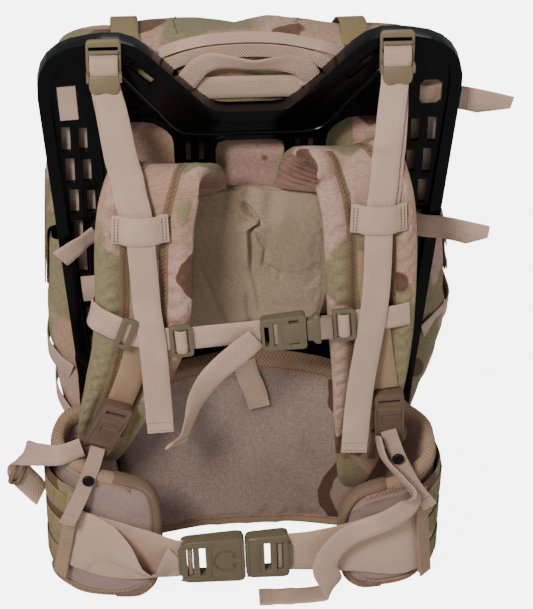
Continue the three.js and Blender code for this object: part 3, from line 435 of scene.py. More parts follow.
def tint(red, green, blue):
    # a little deeper and richer than the seen colour, as the studio light washes it out
    values = []
    for part in (red, green, blue):
        part = part / 255
        values.append(part / 12.92 if part <= 0.04045 else ((part + 0.055) / 1.055) ** 2.4)
    grey = sum(values) / 3
    return (*(min(1, max(0.004, (grey + (v - grey) * tintRichness) * tintDepth)) for v in values), 1)


def shaded(color, share):
    return (*(c * share for c in color[:3]), 1)


def feed(tree, node, inputs):
    # each input takes a plain value or a link
    for key, value in inputs.items():
        if isinstance(value, bpy.types.NodeSocket):
            tree.links.new(value, node.inputs[key])
        else:
            node.inputs[key].default_value = value


def addNode(tree, kind, inputs=None, **settings):
    node = tree.nodes.new(kind)
    for key, value in settings.items():
        setattr(node, key, value)
    feed(tree, node, inputs or {})
    return node


def mathNode(tree, operation, *values):
    return addNode(tree, "ShaderNodeMath", dict(enumerate(values)), operation=operation).outputs[0]


def noiseNode(tree, vector, scale, detail=2.0, rough=0.5):
    return addNode(tree, "ShaderNodeTexNoise", {"Vector": vector, "Scale": scale, "Detail": detail,
                                                "Roughness": rough, "Distortion": 0.0}).outputs["Fac"]


def mapNode(tree, vector, scale, shift=(0, 0, 0)):
    mapping = addNode(tree, "ShaderNodeMapping", {"Scale": scale, "Location": shift, "Vector": vector})
    return mapping.outputs["Vector"]


def stepNode(tree, value, low, high):
    return addNode(tree, "ShaderNodeMapRange", {"Value": value, "From Min": low, "From Max": high},
                   interpolation_type="SMOOTHSTEP").outputs["Result"]


def mixNode(tree, share, first, second, blend="MIX"):
    node = addNode(tree, "ShaderNodeMix", data_type="RGBA", blend_type=blend)
    names = [socket.identifier for socket in node.inputs]
    feed(tree, node, {names.index(key): value for key, value in (
        ("Factor_Float", share), ("A_Color", first), ("B_Color", second))})
    return next(s for s in node.outputs if s.identifier == "Result_Color")


def newGroup(name, kind, *outputs):
    group = bpy.data.node_groups.new(name, "ShaderNodeTree")
    group.interface.new_socket(name="Vector", in_out="INPUT", socket_type="NodeSocketVector")
    for title in outputs:
        group.interface.new_socket(name=title, in_out="OUTPUT", socket_type=kind)
    start = group.nodes.new("NodeGroupInput")
    return group, start.outputs["Vector"], group.nodes.new("NodeGroupOutput")


# flat webbing: ribs across and a fine alternating weave, in real size on the strap's own UV
ribPitch, yarnPitch = 0.0027, 0.0031
webWeave, start, end = newGroup("webWeave", "NodeSocketFloat", "Height", "Thread")
split = addNode(webWeave, "ShaderNodeSeparateXYZ", {0: start})
ribs, yarns = (
    mathNode(webWeave, "SINE", mathNode(webWeave, "MULTIPLY", split.outputs[axis], 2 * math.pi / pitch))
    for axis, pitch in (("X", ribPitch), ("Y", yarnPitch)))
height = mathNode(webWeave, "MULTIPLY_ADD", mathNode(webWeave, "MULTIPLY", ribs, yarns), 0.35, 0.5)
fuzz = noiseNode(webWeave, start, 900)
feed(webWeave, end, {"Height": height, "Thread": mathNode(webWeave, "MULTIPLY", height, fuzz)})

# woven cloth: uneven threads both ways
clothWeave, start, end = newGroup("clothWeave", "NodeSocketFloat", "Height", "Thread")
upThreads, crossThreads = (noiseNode(clothWeave, mapNode(clothWeave, start, scale), 1)
                           for scale in ((980, 980, 190), (200, 200, 1000)))
threads = mathNode(clothWeave, "MULTIPLY", mathNode(clothWeave, "ADD", upThreads, crossThreads), 0.5)
feed(clothWeave, end, {"Height": threads, "Thread": stepNode(clothWeave, threads, 0.36, 0.64)})

# camouflage: sand with soft olive fields and smaller brown patches
camoPattern, start, end = newGroup("camoPattern", "NodeSocketColor", "Color")
bend = noiseNode(camoPattern, start, 14).node.outputs["Color"]
shift = addNode(camoPattern, "ShaderNodeVectorMath", {0: bend, 1: (0.05, 0.05, 0.05), 2: start},
                operation="MULTIPLY_ADD").outputs[0]
fields = noiseNode(camoPattern, mapNode(camoPattern, shift, (1, 1, 0.72)), 9.5, 1.2)
patches = noiseNode(camoPattern, mapNode(camoPattern, shift, (1, 1, 0.8), (2.2, 0.6, 1.3)), 13, 1.4)
faint = noiseNode(camoPattern, mapNode(camoPattern, shift, (1, 1, 1), (0.7, 5.2, 2.4)), 11, 1)
camoColor = tint(205, 177, 166)
for field, low, high, color in ((faint, 0.5, 0.53, tint(194, 166, 150)),
                                (fields, 0.51, 0.535, tint(152, 143, 118)),
                                (patches, 0.635, 0.652, tint(110, 84, 70))):
    camoColor = mixNode(camoPattern, stepNode(camoPattern, field, low, high), camoColor, color)
feed(camoPattern, end, {"Color": camoColor})

# handling marks: soft clouds used for roughness and for slight dirt
wearClouds, start, end = newGroup("wearClouds", "NodeSocketFloat", "Soft", "Scuff")
scuffs = noiseNode(wearClouds, mapNode(wearClouds, start, (60, 60, 260)), 1, 4, 0.65)
feed(wearClouds, end, {
    "Soft": noiseNode(wearClouds, start, 16, 3), "Scuff": stepNode(wearClouds, scuffs, 0.56, 0.7)})


def useGroup(tree, group, vector):
    node = addNode(tree, "ShaderNodeGroup")
    node.node_tree = group
    feed(tree, node, {"Vector": vector})
    return node.outputs


def newMaterial(name, weaveGroup=None, weaveOn="Object"):
    mat = bpy.data.materials.new(name)
    mat.use_nodes = True
    tree = mat.node_tree
    spots = addNode(tree, "ShaderNodeTexCoord").outputs
    weave = useGroup(tree, weaveGroup, spots[weaveOn]) if weaveGroup else None
    wear = useGroup(tree, wearClouds, spots["Object"])
    return mat, tree, spots["Object"], weave, wear


def finishLook(mat, height, strength, distance, inputs):
    tree = mat.node_tree
    bump = addNode(tree, "ShaderNodeBump", {"Strength": strength, "Distance": distance, "Height": height})
    feed(tree, tree.nodes["Principled BSDF"], {**inputs, "Normal": bump.outputs["Normal"]})
    return mat


def webbingLook(name, color, dark=0.42, sheen=0.04):
    mat, tree, spot, weave, wear = newMaterial(name, webWeave, "UV")
    base = mixNode(tree, weave["Height"], shaded(color, dark), color)
    dirty = mixNode(tree, stepNode(tree, wear["Soft"], 0.45, 0.75), base, shaded(color, 0.86))
    return finishLook(mat, weave["Height"], 0.9, 0.0009, {
        "Base Color": dirty, "Roughness": 0.78, "Sheen Weight": sheen, "Sheen Roughness": 0.5})


def clothLook(name, color, dark=0.62, sheen=0.05, strength=0.5):
    mat, tree, spot, weave, wear = newMaterial(name, clothWeave)
    base = mixNode(tree, weave["Thread"], shaded(color, dark), color)
    dirty = mixNode(tree, stepNode(tree, wear["Soft"], 0.4, 0.8), base, shaded(color, 0.88))
    return finishLook(mat, weave["Height"], strength, 0.0008, {
        "Base Color": dirty, "Roughness": 0.86, "Sheen Weight": sheen})


def camoLook(name):
    mat, tree, spot, weave, wear = newMaterial(name, clothWeave)
    camo = useGroup(tree, camoPattern, spot)
    shade = mixNode(tree, weave["Thread"], (0.72, 0.71, 0.7, 1), (1.04, 1.04, 1.04, 1))
    cloudy = mixNode(tree, wear["Soft"], (0.86, 0.85, 0.84, 1), (1.04, 1.03, 1.02, 1))
    woven = mixNode(tree, 1.0, camo["Color"], shade, "MULTIPLY")
    return finishLook(mat, weave["Height"], 0.4, 0.0007, {
        "Base Color": mixNode(tree, 1.0, woven, cloudy, "MULTIPLY"), "Roughness": 0.8, "Sheen Weight": 0.04})


def lumbarLook(name, color):
    # plain lining with one camouflage patch at its right-hand edge
    mat, tree, spot, weave, wear = newMaterial(name, clothWeave)
    bend = noiseNode(tree, mapNode(tree, spot, (11, 11, 15)), 1, 1.5)
    apart = addNode(tree, "ShaderNodeSeparateXYZ", {0: spot})
    edge = mathNode(tree, "MULTIPLY_ADD", bend, 0.075, apart.outputs["X"])
    pale = mixNode(tree, stepNode(tree, edge, 0.126, 0.1275), tint(104, 80, 70), tint(182, 160, 150))
    patched = mixNode(tree, stepNode(tree, edge, 0.112, 0.1135), color, pale)
    cloudy = mixNode(tree, stepNode(tree, wear["Soft"], 0.4, 0.8), (1, 1, 1, 1), (0.88, 0.87, 0.86, 1))
    shade = mixNode(tree, weave["Thread"], (0.7, 0.7, 0.7, 1), (1, 1, 1, 1))
    dirty = mixNode(tree, 1.0, patched, cloudy, "MULTIPLY")
    return finishLook(mat, weave["Height"], 0.5, 0.0008, {
        "Base Color": mixNode(tree, 1.0, dirty, shade, "MULTIPLY"), "Roughness": 0.86})


def plasticLook(name, color, rough, coat=0.0, dust=0.0, shine=0.5):
    mat, tree, spot, weave, wear = newMaterial(name)
    paler = (*(min(1, c * 1.25 + 0.012 + dust) for c in color[:3]), 1)
    worn = mixNode(tree, mathNode(tree, "MULTIPLY", wear["Scuff"], 0.45), color, paler)
    return finishLook(mat, noiseNode(tree, spot, 1400), 0.12, 0.0003, {
        "Base Color": worn, "Roughness": mathNode(tree, "MULTIPLY_ADD", wear["Soft"], 0.22, rough - 0.1),
        "Specular IOR Level": shine, "Coat Weight": coat, "Coat Roughness": 0.12})


webbingTan = webbingLook("webbingTan", tint(238, 211, 195))
beltTan = webbingLook("beltTan", tint(224, 197, 179), 0.7, 0.25)
webbingKhaki = webbingLook("webbingKhaki", tint(166, 148, 116))
webbingBrown = webbingLook("webbingBrown", tint(196, 168, 146))
tapeTan = webbingLook("tapeTan", tint(196, 168, 148))
tapeBrown = webbingLook("tapeBrown", tint(158, 134, 114))
satinTan = webbingLook("satinTan", tint(196, 172, 158), 0.85, 0.4)
camoCloth = camoLook("camoCloth")
padKhaki = clothLook("padKhaki", tint(180, 163, 144), 0.72)
lumbarGrey = lumbarLook("lumbarGrey", tint(178, 161, 153))
liningGrey = clothLook("liningGrey", tint(168, 148, 142), 0.84, 0.06, 0.3)
# plain pale sand for the cloth behind the frame's rails, brighter than the bag's own cloth: painted light
# where the frame shades it
edgeSandPaintedLight = clothLook("edgeSandPaintedLight", tint(248, 226, 210), 0.8, 0.05, 0.3)
liningPink = clothLook("liningPink", tint(158, 130, 118), 0.8, 0.05, 0.3)
frameBlack = plasticLook("frameBlack", (0.0015, 0.0015, 0.0018, 1), 0.18, 0.0, -0.0105, 0.34)
buckleKhaki = plasticLook("buckleKhaki", tint(132, 120, 102), 0.42)
buckleBrown = plasticLook("buckleBrown", tint(110, 93, 82), 0.4)
buckleOlive = plasticLook("buckleOlive", tint(116, 108, 92), 0.36, 0.1)
snapBlack = plasticLook("snapBlack", (0.005, 0.005, 0.005, 1), 0.3, 0.0, 0.0, 0.4)
stitchBrown = clothLook("stitchBrown", tint(112, 88, 70))
stitchTan = clothLook("stitchTan", tint(164, 140, 112))
print("materials ready")

# floor and light

floorSize, floorDrop, floorGlow, worldGlow, worldLevel = 14, 0.0002, 5.6, 3.0, 0.24
clearPick()
bpy.ops.mesh.primitive_plane_add(size=floorSize, location=(0, 0, 0))
floor = bpy.context.object
floor.name = "floor"
setPoints(floor, getPoints(floor) + np.array((0, 2.0, cadBox[0].z - floorDrop)))
floorMat = bpy.data.materials.new("floorPale")
floorMat.use_nodes = True
floorTree = floorMat.node_tree
seen = addNode(floorTree, "ShaderNodeLightPath").outputs["Is Camera Ray"]
feed(floorTree, floorTree.nodes["Principled BSDF"], {
    "Base Color": (0.86, 0.86, 0.86, 1), "Roughness": 0.9, "Emission Color": (1, 1, 1, 1),
    "Emission Strength": mathNode(floorTree, "MULTIPLY", seen, floorGlow)})
paint(floor, floorMat)
floor.visible_glossy = False

world = bpy.data.worlds.new("studio")
bpy.context.scene.world = world
world.use_nodes = True
worldTree = world.node_tree
seen = addNode(worldTree, "ShaderNodeLightPath").outputs["Is Camera Ray"]
feed(worldTree, worldTree.nodes["Background"], {
    "Color": (0.95, 0.97, 1, 1),
    "Strength": mathNode(worldTree, "MULTIPLY_ADD", seen, worldGlow, worldLevel)})


def softLight(name, place, aim, size, power, color=(1, 1, 1)):
    data = bpy.data.lights.new(name, "AREA")
    data.size = size
    data.energy = power
    data.color = color
    obj = bpy.data.objects.new(name, data)
    bpy.context.collection.objects.link(obj)
    obj.location = place
    obj.rotation_euler = (Vector(aim) - Vector(place)).to_track_quat("-Z", "Y").to_euler()


softLight("keyLight", (-1.1, -1.9, 2.3), (0, -0.1, 0.25), 0.6, 78, (1, 0.98, 0.95))
softLight("fillLight", (1.9, -1.3, 1.2), (0, -0.1, 0.25), 1.6, 9)
softLight("topLight", (0.3, 1.3, 2.2), (0, 0, 0.3), 1.4, 18)

# soft shells: copies of the sewn forms, rounded and wrinkled inwards


def softShell(piece, levels, middle, folds):
    obj = nodeCopy(piece["name"], piece["node"])
    editAll(obj, bpy.ops.mesh.tris_convert_to_quads, face_threshold=math.radians(60),
            shape_threshold=math.radians(60))
    subdivide(obj, levels)
    points, normals = getPoints(obj), getPoints(obj, "normal")
    turned = np.sign(np.sum((points - middle(points)) * normals, axis=1))
    setPoints(obj, points - normals * (turned * folds(points) * mm)[:, None])
    smoothFaces(obj)
    return keep(obj, camoCloth, [piece["node"]])


def foldField(points, sizes, seed):
    x, y, z = points.T / mm
    return noiseAt(x / sizes[0] + seed, y / sizes[1] - seed, z / sizes[2] + seed)


def seamOn(obj, corners, lift, step=2.5):
    # a line drawn near a piece, moved onto its surface
    corners = np.array(corners, float) * mm
    dense = []
    for a, b in zip(corners, corners[1:]):
        count = max(2, int(np.linalg.norm(b - a) / (step * mm)))
        dense += [a + (b - a) * k / count for k in range(count)]
    dense.append(corners[-1])
    found = [obj.closest_point_on_mesh(Vector(p))[1:3] for p in dense]
    faces = np.array([face for spot, face in found])
    return np.array([spot for spot, face in found]) + faces * lift * mm, faces


def sewOn(name, obj, corners, lift, **stitch):
    spots, faces = seamOn(obj, corners, lift)
    makeStitches(name, spots, stitchBrown, faces, **stitch)


def tapeOn(name, obj, corners, width, mat, thick, lift):
    # a flat tape that follows the surface of another piece
    spots, faces = seamOn(obj, corners, lift, 5)
    rows = []
    for k, (spot, face) in enumerate(zip(spots, faces)):
        ahead = spots[min(k + 1, len(spots) - 1)] - spots[max(k - 1, 0)]
        side = np.cross(ahead, face)
        side /= max(np.linalg.norm(side), 1e-9)
        rows.append((*(spot / mm), *side))
    makeStrap({"name": name, "width": width, "thick": thick, "rows": rows, "wave": 0.1}, mat)


def middleAt(spot):
    return lambda points: np.tile(np.array(spot) * mm, (len(points), 1))


bag = {"name": "bag_cloth", "node": "main_bag", "axis": (0, 5), "low": 90, "high": 420}


def bagMiddle(points):
    middle = middleAt((*bag["axis"], 0))(points)
    middle[:, 2] = np.clip(points[:, 2], bag["low"] * mm, bag["high"] * mm)
    return middle


def bagFolds(points):
    level = foldField(points, (110, 110, 34), 3.7)
    upright = foldField(points, (42, 42, 120), 8.1)
    small = foldField(points, (26, 26, 18), 1.3)
    deep = 5.5 * fade(level, 0.0, 0.55) + 3.2 * fade(upright, 0.05, 0.6) + 1.0 * fade(small, 0.1, 0.6)
    return deep * fade(points[:, 2] / mm, 3, 40)


bagCloth = softShell(bag, 2, bagMiddle, bagFolds)

lid = {"name": "lid_cloth", "node": "bag_lid", "middle": (0, -20, 330)}


def lidFolds(points):
    long = foldField(points, (34, 120, 60), 5.3)
    small = foldField(points, (20, 34, 20), 2.2)
    return 3.6 * fade(long, 0.0, 0.6) + 1.2 * fade(small, 0.0, 0.6)


lidCloth = softShell(lid, 2, middleAt(lid["middle"]), lidFolds)
bpy.context.view_layer.update()

pouches = {
    "left": {"name": "pouch_cloth_left", "node": "side_pouch_left", "middle": (-150, -17, 205), "seed": 4},
    "right": {"name": "pouch_cloth_right", "node": "side_pouch_right", "middle": (150, -17, 205), "seed": 5},
}
pouchSeam, pouchPull, pouchFull, pouchSink = 158, 19, 1.14, 0.08
pouchTaper = ([-103, -94, -84], [0.36, 0.76, 1])
for side, pouch in pouches.items():
    def pouchFolds(points, seed=pouch["seed"]):
        return 2.6 * fade(foldField(points, (60, 60, 26), seed), 0.0, 0.55)

    pouchCloth = softShell(pouch, 3, middleAt(pouch["middle"]), pouchFolds)
    # loose cloth at the front edge, drawn forward to the frame under the straps
    spots = getPoints(pouchCloth) / mm
    spots[:, 1] -= pouchPull * fade(-spots[:, 1], 62, 84)
    taper = np.interp(spots[:, 1], *pouchTaper) * (pouchFull - pouchSink * fade(spots[:, 2], 235, 258))
    inner = np.where(spots[:, 0] < 0, -pouchSeam, pouchSeam)
    spots[:, 0] = inner + (spots[:, 0] - inner) * taper
    setPoints(pouchCloth, spots * mm)
bpy.context.view_layer.update()

# double seams on the bag, each with the shift between its two rows
seamGap = 5
seamStitch = {"size": (2.6, 0.6), "pitch": 3.6}
bagSeams = {
    "rear_left": ((seamGap, 0, 0), [(-88, 140, 40), (-92, 140, 220), (-92, 140, 400)]),
    "rear_right": ((seamGap, 0, 0), [(88, 140, 40), (92, 140, 220), (92, 140, 400)]),
    "rear_low": ((0, 0, seamGap), [(-130, 140, 62), (0, 150, 62), (130, 140, 62)]),
    "side_left": ((0, seamGap, 0), [(-220, 70, 40), (-220, 70, 400)]),
    "side_right": ((0, seamGap, 0), [(220, 70, 40), (220, 70, 400)]),
}
for name, (gap, line) in bagSeams.items():
    for k in (0, 1):
        moved = np.array(line) + np.array(gap) * k
        sewOn(f"bag_stitch_{name}_{k + 1}", bagCloth, moved, 0.3, **seamStitch)
lidEdge = [(-128, 96, 434), (-80, 100, 432), (0, 102, 431), (80, 100, 432), (128, 96, 434)]
tapeOn("lid_rear_tape", lidCloth, lidEdge, 14, tapeTan, 1.2, 0.5)
lidStitchLine = np.array(lidEdge) + np.array((0, 0, 4.6))
sewOn("lid_rear_stitch", lidCloth, lidStitchLine, 1.3, size=(2.4, 0.55), pitch=3.4)
for name, line in (("left", [(-60, -90, 600), (-64, 0, 560), (-66, 60, 500), (-66, 100, 440)]),
                   ("right", [(52, -90, 600), (54, 0, 560), (56, 60, 500), (56, 100, 440)])):
    sewOn("lid_seam_" + name, lidCloth, line, 0.3, **seamStitch)
print("bag, lid and pouches ready")

# moulded frame, with a wide round on its outer edges and a small one elsewhere

rimFront, rimRear, rimRound, innerRound = -124.5, -107.5, 4.4, 0.34
frameShell = nodeCopy("frame_shell", "frame")
dissolve(frameShell, 1.5)
spots = getPoints(frameShell) / mm
weights = frameShell.data.attributes.new("bevel_weight_edge", "FLOAT", "EDGE")
for edge in frameShell.data.edges:
    a, b = (spots[i][1] for i in edge.vertices)
    weights.data[edge.index].value = 1.0 if max(a, b) < rimFront or min(a, b) > rimRear else innerRound
useModifier(frameShell, "BEVEL", width=rimRound * mm, segments=4, limit_method="WEIGHT",
            use_clamp_overlap=True)
smoothFaces(frameShell, 42)
keep(frameShell, frameBlack, ["frame"])

frameRidge = {
    "radius": 2.4,
    "rows": [(-118, -117, 520), (-104, -117, 503), (-86, -117, 482), (-66, -117, 459), (-50, -117, 455),
             (0, -117, 455), (50, -117, 455), (66, -117, 459), (86, -117, 482), (104, -117, 503),
             (118, -117, 520)],
}
makeTube("frame_ridge", frameRidge["rows"], frameRidge["radius"], frameBlack)
frameBolt = {"places": [(-117, -115.4, 494), (117, -115.4, 494)], "size": 3.4}
for k, spot in enumerate(frameBolt["places"]):
    bolt = makeDisc(f"frame_bolt_{k + 1}", frameBolt["size"], 12)
    useModifier(bolt, "BEVEL", width=0.8 * mm, segments=2, limit_method="ANGLE")
    setPoints(bolt, getPoints(bolt) + np.array(spot) * mm)
    smoothFaces(bolt, smoothAngle)
    keep(bolt, frameBlack)
# cloth behind the rails, a plain pale sand brighter than the bag's own cloth as painted light where the frame
# shades it, and webbing in two of their slots; a rail starts at this x and has this slope
railFoot, railSlope, edgeInset = 149, 0.081, 26
for way, word in ((-1, "left"), (1, "right")):
    makeStrap({"name": "bag_edge_" + word, "width": 40, "thick": 2, "across": (1, 0, 0), "wave": 1.2,
               "rows": [(way * (railFoot + railSlope * z - edgeInset), -103.8, z)
                        for z in (60, 150, 240, 330, 420, 504)]}, edgeSandPaintedLight)
for name, x in (("left", -165), ("right", 160)):
    makeStrap({"name": "slot_web_" + name, "width": 13, "across": (1, 0, 0),
               "rows": [(x, -102.5, 508), (x, -103, 492), (x, -102.5, 472)]}, webbingTan)
print("frame ready")

# pads: closed tubes along rows with the columns x, y, z, width and thickness


def padRun(piece):
    rows = piece["rows"]
    return makeRun(rows, piece["across"], [("width", [r[3] for r in rows]), ("thick", [r[4] for r in rows])],
                   piece.get("first", 0), piece.get("last"))


def bent(value, power):
    return np.sign(value) * np.abs(value) ** (2 / power)


def padPoint(piece, run, dist, angle, grow=0.0):
    wide = bent(np.cos(angle), piece["power"]) * (onRun(run, "width", dist) / 2 + grow * mm)
    high = bent(np.sin(angle), piece["power"]) * (onRun(run, "thick", dist) / 2 + grow * mm)
    return wide, high


def evenAngle(piece, run, share):
    # angles that space the points evenly round the widest section
    angle = np.linspace(0, 2 * math.pi, 4001)
    wide = bent(np.cos(angle), piece["power"]) * run["width"].max()
    high = bent(np.sin(angle), piece["power"]) * run["thick"].max()
    reach = lengthsAlong(np.stack([wide, high], axis=1))
    return np.interp(share, reach / reach[-1], angle)


def endSize(dist, length, start, end):
    size = np.ones(len(dist))
    for reach, gap in ((start * mm, dist), (end * mm, length - dist)):
        if reach > 0:
            share = np.clip(gap / reach, 0, 1)
            size = size * np.sqrt(np.maximum(0, 1 - (1 - share) ** 2))
        else:
            size = size * np.where(gap < 1e-7, 0, 1)
    return size


clothSettings = {
    "quality": 6, "mass": 0.25, "tension_stiffness": 14, "compression_stiffness": 10, "shear_stiffness": 6,
    "bending_stiffness": 0.4, "use_pressure": True, "vertex_group_mass": "seams",
}
clothFrames = 18


def puffCloth(obj, pinned, piece):
    # a short cloth simulation with air inside; the seams stay where they are
    group = obj.vertex_groups.new(name="seams")
    group.add([int(i) for i in np.nonzero(pinned)[0]], 1.0, "REPLACE")
    before = getPoints(obj)
    pick(obj)
    mod = obj.modifiers.new("cloth", "CLOTH")
    for key, value in {**clothSettings, "uniform_pressure_force": piece["pressure"],
                       "shrink_min": -piece["extra"]}.items():
        setattr(mod.settings, key, value)
    mod.settings.effector_weights.gravity = 0
    mod.collision_settings.use_collision = False
    mod.point_cache.frame_start = 1
    mod.point_cache.frame_end = clothFrames
    for number in range(1, clothFrames + 1):
        bpy.context.scene.frame_set(number)
    bpy.ops.object.modifier_apply(modifier=mod.name)
    bpy.context.scene.frame_set(1)
    move = getPoints(obj) - before
    far = np.linalg.norm(move, axis=1)
    setPoints(obj, before + move * np.minimum(1, piece["cap"] * mm / np.maximum(far, 1e-9))[:, None])
    obj.vertex_groups.clear()


def makePad(piece, mat, pinned, shape=None):
    run = padRun(piece)
    length = run["length"]
    obj, u, v = gridSheet(piece["name"], int(length / (piece["step"] * mm)), piece["around"])
    dist = u * length
    angle = evenAngle(piece, run, v) if piece.get("even") else v * 2 * math.pi
    wide, high = padPoint(piece, run, dist, angle)
    size = endSize(dist, length, *piece["ends"])
    wide, high = wide * (0.25 + 0.75 * size) * np.where(size <= 0, 0, 1), high * size
    if shape is not None:
        high = high + shape(dist, length, wide, high) * mm
    setPoints(obj, strapPoint(run, dist, wide, high))
    tidyMesh(obj)
    puffCloth(obj, pinned(run, getPoints(obj)), piece)
    subdivide(obj, 1)
    smoothFaces(obj)
    keep(obj, mat, [piece["node"]])
    return obj, run


def sideShare(run, spots):
    # for each point the distance along the run, the offsets to its side and face, and the width there
    gaps = ((spots[:, None, :] - run["centre"][None, :, :]) ** 2).sum(axis=2)
    near = gaps.argmin(axis=1)
    off = spots - run["centre"][near]
    aside, up = (np.sum(off * run[key][near], axis=1) for key in ("side", "face"))
    return run["along"][near], aside, up, run["width"][near]


def addFolds(obj, run, shape):
    spots = getPoints(obj)
    along, off, face, width = sideShare(run, spots)
    move = shape(along, run["length"], off, face)
    setPoints(obj, spots + onRun(run, "face", along) * (move * mm)[:, None])


tapeGrow, tapeThick, stitchGrow = 0.9, 0.9 * mm, 1.6


def edgeTurn(piece, run, dist, reach):
    # the angle from a pad's edge at which its face lies this far in
    half = onRun(run, "width", dist) / 2
    return np.arccos(np.clip((half - reach * mm) / half, 0, 1) ** (piece["power"] / 2))


def edgeTape(name, piece, run, edge, start, end, reach):
    # binding tape folded over one edge of a pad
    obj, u, v = gridSheet(name, max(6, int((end - start) * run["length"] / (4 * mm))), 10)
    dist = (start + (end - start) * u) * run["length"]
    angle = (2 * v - 1) * edgeTurn(piece, run, dist, reach) + (0 if edge > 0 else math.pi)
    setUv(obj, dist, v * 2 * reach * mm)
    setPoints(obj, strapPoint(run, dist, *padPoint(piece, run, dist, angle, tapeGrow)))
    tidyMesh(obj, 1e-7)
    useModifier(obj, "SOLIDIFY", thickness=tapeThick, offset=0)
    tidyMesh(obj, 1e-7)
    smoothFaces(obj, 50)
    keep(obj, tapeTan)


def edgeLine(piece, run, edge, start, end, reach, face):
    # a line along a pad's face at a distance from its edge
    dist = np.linspace(start, end, 160) * run["length"]
    turn = edgeTurn(piece, run, dist, reach) * face
    angle = turn if edge > 0 else math.pi - turn
    line = strapPoint(run, dist, *padPoint(piece, run, dist, angle, stitchGrow))
    return line, onRun(run, "face", dist) * face


backPad = {
    "name": "back_pad_cloth", "node": "back_pad", "across": (1, 0, 0), "power": 4, "step": 2.6, "around": 150,
    "even": True, "ends": (3, 3), "pressure": 3.0, "cap": 3.0, "extra": 0.03, "fill": 0.55,
    "rows": [(0, -133.3, 248, 96, 8), (0, -133.3, 256, 132, 19), (0, -133.8, 290, 148, 25),
             (0, -133.8, 330, 150, 26), (0, -133.8, 372, 148, 25), (0, -133.3, 398, 136, 19),
             (0, -133.3, 406, 104, 9)],
}
backPadSeam = 9 * mm


def creaseGap(x, fromTop, places, offsets):
    # distance from a crease that wanders down the pad
    middle = np.interp(fromTop, places, offsets)
    slope = np.interp(fromTop + 2, places, offsets) - np.interp(fromTop - 2, places, offsets)
    return (x - middle) / np.sqrt(1 + (slope / 4) ** 2)


def backPadShape(dist, length, wide, high):
    # a pinched fold under the harness, puckers along the top and loose creases lower down
    fromTop = (length - dist) / mm
    x = wide / mm
    front = np.where(high > 0, 1, 0)
    pleat = np.sin((x - 4 + 0.1 * fromTop) / 3.6) * bell(x - 6, 24) * bell(fromTop, 34)
    fold = creaseGap(x, fromTop, [8, 15, 29, 38, 56, 81, 122], [-9, -6, 9, -1, 0, 1, 9])
    reach = fade(fromTop, 8, 17) * (1 - 0.7 * fade(fromTop, 58, 88)) * (1 - fade(fromTop, 108, 138))
    crest = bell(fold + 4.8, 3.4) - 1.4 * bell(fold, 2.2)
    branch = creaseGap(x, fromTop, [36, 58, 75, 88], [1, 14, 12, 27])
    side = bell(branch, 2.4) * fade(fromTop, 36, 48) * (1 - fade(fromTop, 78, 98))
    low = (bell(x + 74 - 0.35 * fromTop, 3) * fade(fromTop, 70, 100)
           + bell(x + 14 - 0.1 * fromTop, 3) * fade(fromTop, 96, 120))
    level = noiseAt(x / 46, fromTop / 30, 4.4)
    return front * (2.6 * pleat + 4.2 * crest * reach - 4.0 * side - 2.8 * low
                    + 2.0 * level * fade(fromTop, 4, 30))


def backPadPinned(run, spots):
    return np.abs(sideShare(run, spots)[1]) > run["width"].max() / 2 - backPadSeam


backPadCloth, backPadRun = makePad(backPad, padKhaki, backPadPinned)
addFolds(backPadCloth, backPadRun, backPadShape)

shoulderKind = {"across": (1, 0, 0), "power": 3, "step": 3.2, "around": 56, "ends": (2, 6), "pressure": 3.5,
                "cap": 2.6, "extra": 0.05}
shoulderPads = {
    "left": {
        **shoulderKind, "name": "shoulder_cloth_left", "node": "shoulder_pad_left",
        "rows": [(-46, -140, 405.9, 48, 10), (-52, -148, 427, 58, 15), (-66, -165, 445, 70, 16),
                 (-86, -188, 455, 84, 16), (-97, -207, 434, 87, 17), (-101, -215, 395, 88, 17),
                 (-102, -218, 345, 88, 17), (-107, -217, 295, 86, 17), (-120, -212, 245, 76, 16),
                 (-134, -206, 200, 62, 15), (-144, -200, 162, 48, 12), (-149, -197, 142, 34, 7)],
    },
    "right": {
        **shoulderKind, "name": "shoulder_cloth_right", "node": "shoulder_pad_right",
        "rows": [(46, -140, 405.9, 48, 10), (52, -148, 434, 58, 15), (65, -165, 459, 70, 16),
                 (86, -188, 467, 83, 16), (97, -207, 441, 84, 17), (102, -215, 395, 84, 17),
                 (104, -218, 345, 82, 17), (106, -217, 295, 78, 17), (107, -213, 245, 70, 16),
                 (106, -207, 200, 62, 15), (104, -199, 150, 50, 13), (100, -190, 104, 32, 10),
                 (98, -186, 86, 16, 6)],
    },
}
channelHalf = 20
channelTape = {"off": 17, "nearer": 3.5, "width": 8}


def shoulderShape(dist, length, wide, high):
    # a sewn channel down the face, sunk between two rolls
    x = np.abs(wide) / mm
    face = np.where(high < 0, 1, 0)
    down = fade(dist / mm, 66, 104) * (1 - fade(dist / length, 0.86, 0.96))
    sunk = 4.4 * (1 - fade(x, channelHalf - 2, channelHalf + 5))
    roll = -0.9 * bell(x - channelHalf - 12, 7)
    pucker = 0.7 * np.sin(dist / mm / 2.6 + np.sign(wide) * 1.7) * bell(x - channelHalf - 6, 5)
    curl = 0.9 * noiseAt(wide / 0.03, dist / 0.022, 2.7)
    return face * down * (sunk + roll + pucker) + curl * face * 0.8


def crestGathers(dist, length, wide, high):
    # lining drawn into deep folds under the crest
    turn = dist / mm / 1.25 + 0.25 * wide / mm + 2.4 * noiseAt(wide / 0.02, dist / 0.02, 0.4)
    reach = fade(dist / mm, 4, 18) * (1 - fade(dist / mm, 92, 120)) * fade(high / mm, 1.5, 5)
    return -3.8 * (0.5 + 0.5 * np.sin(turn)) * reach


def shoulderPinned(run, spots):
    along, off, face, width = sideShare(run, spots)
    channel = (np.abs(off) < (channelHalf + 4) * mm) & (face < 0)
    edge = np.abs(off) > width / 2 - 3 * mm
    ends = (along < 12 * mm) | (along > run["length"] - 12 * mm)
    return channel | edge | ends | (face > 2 * mm)


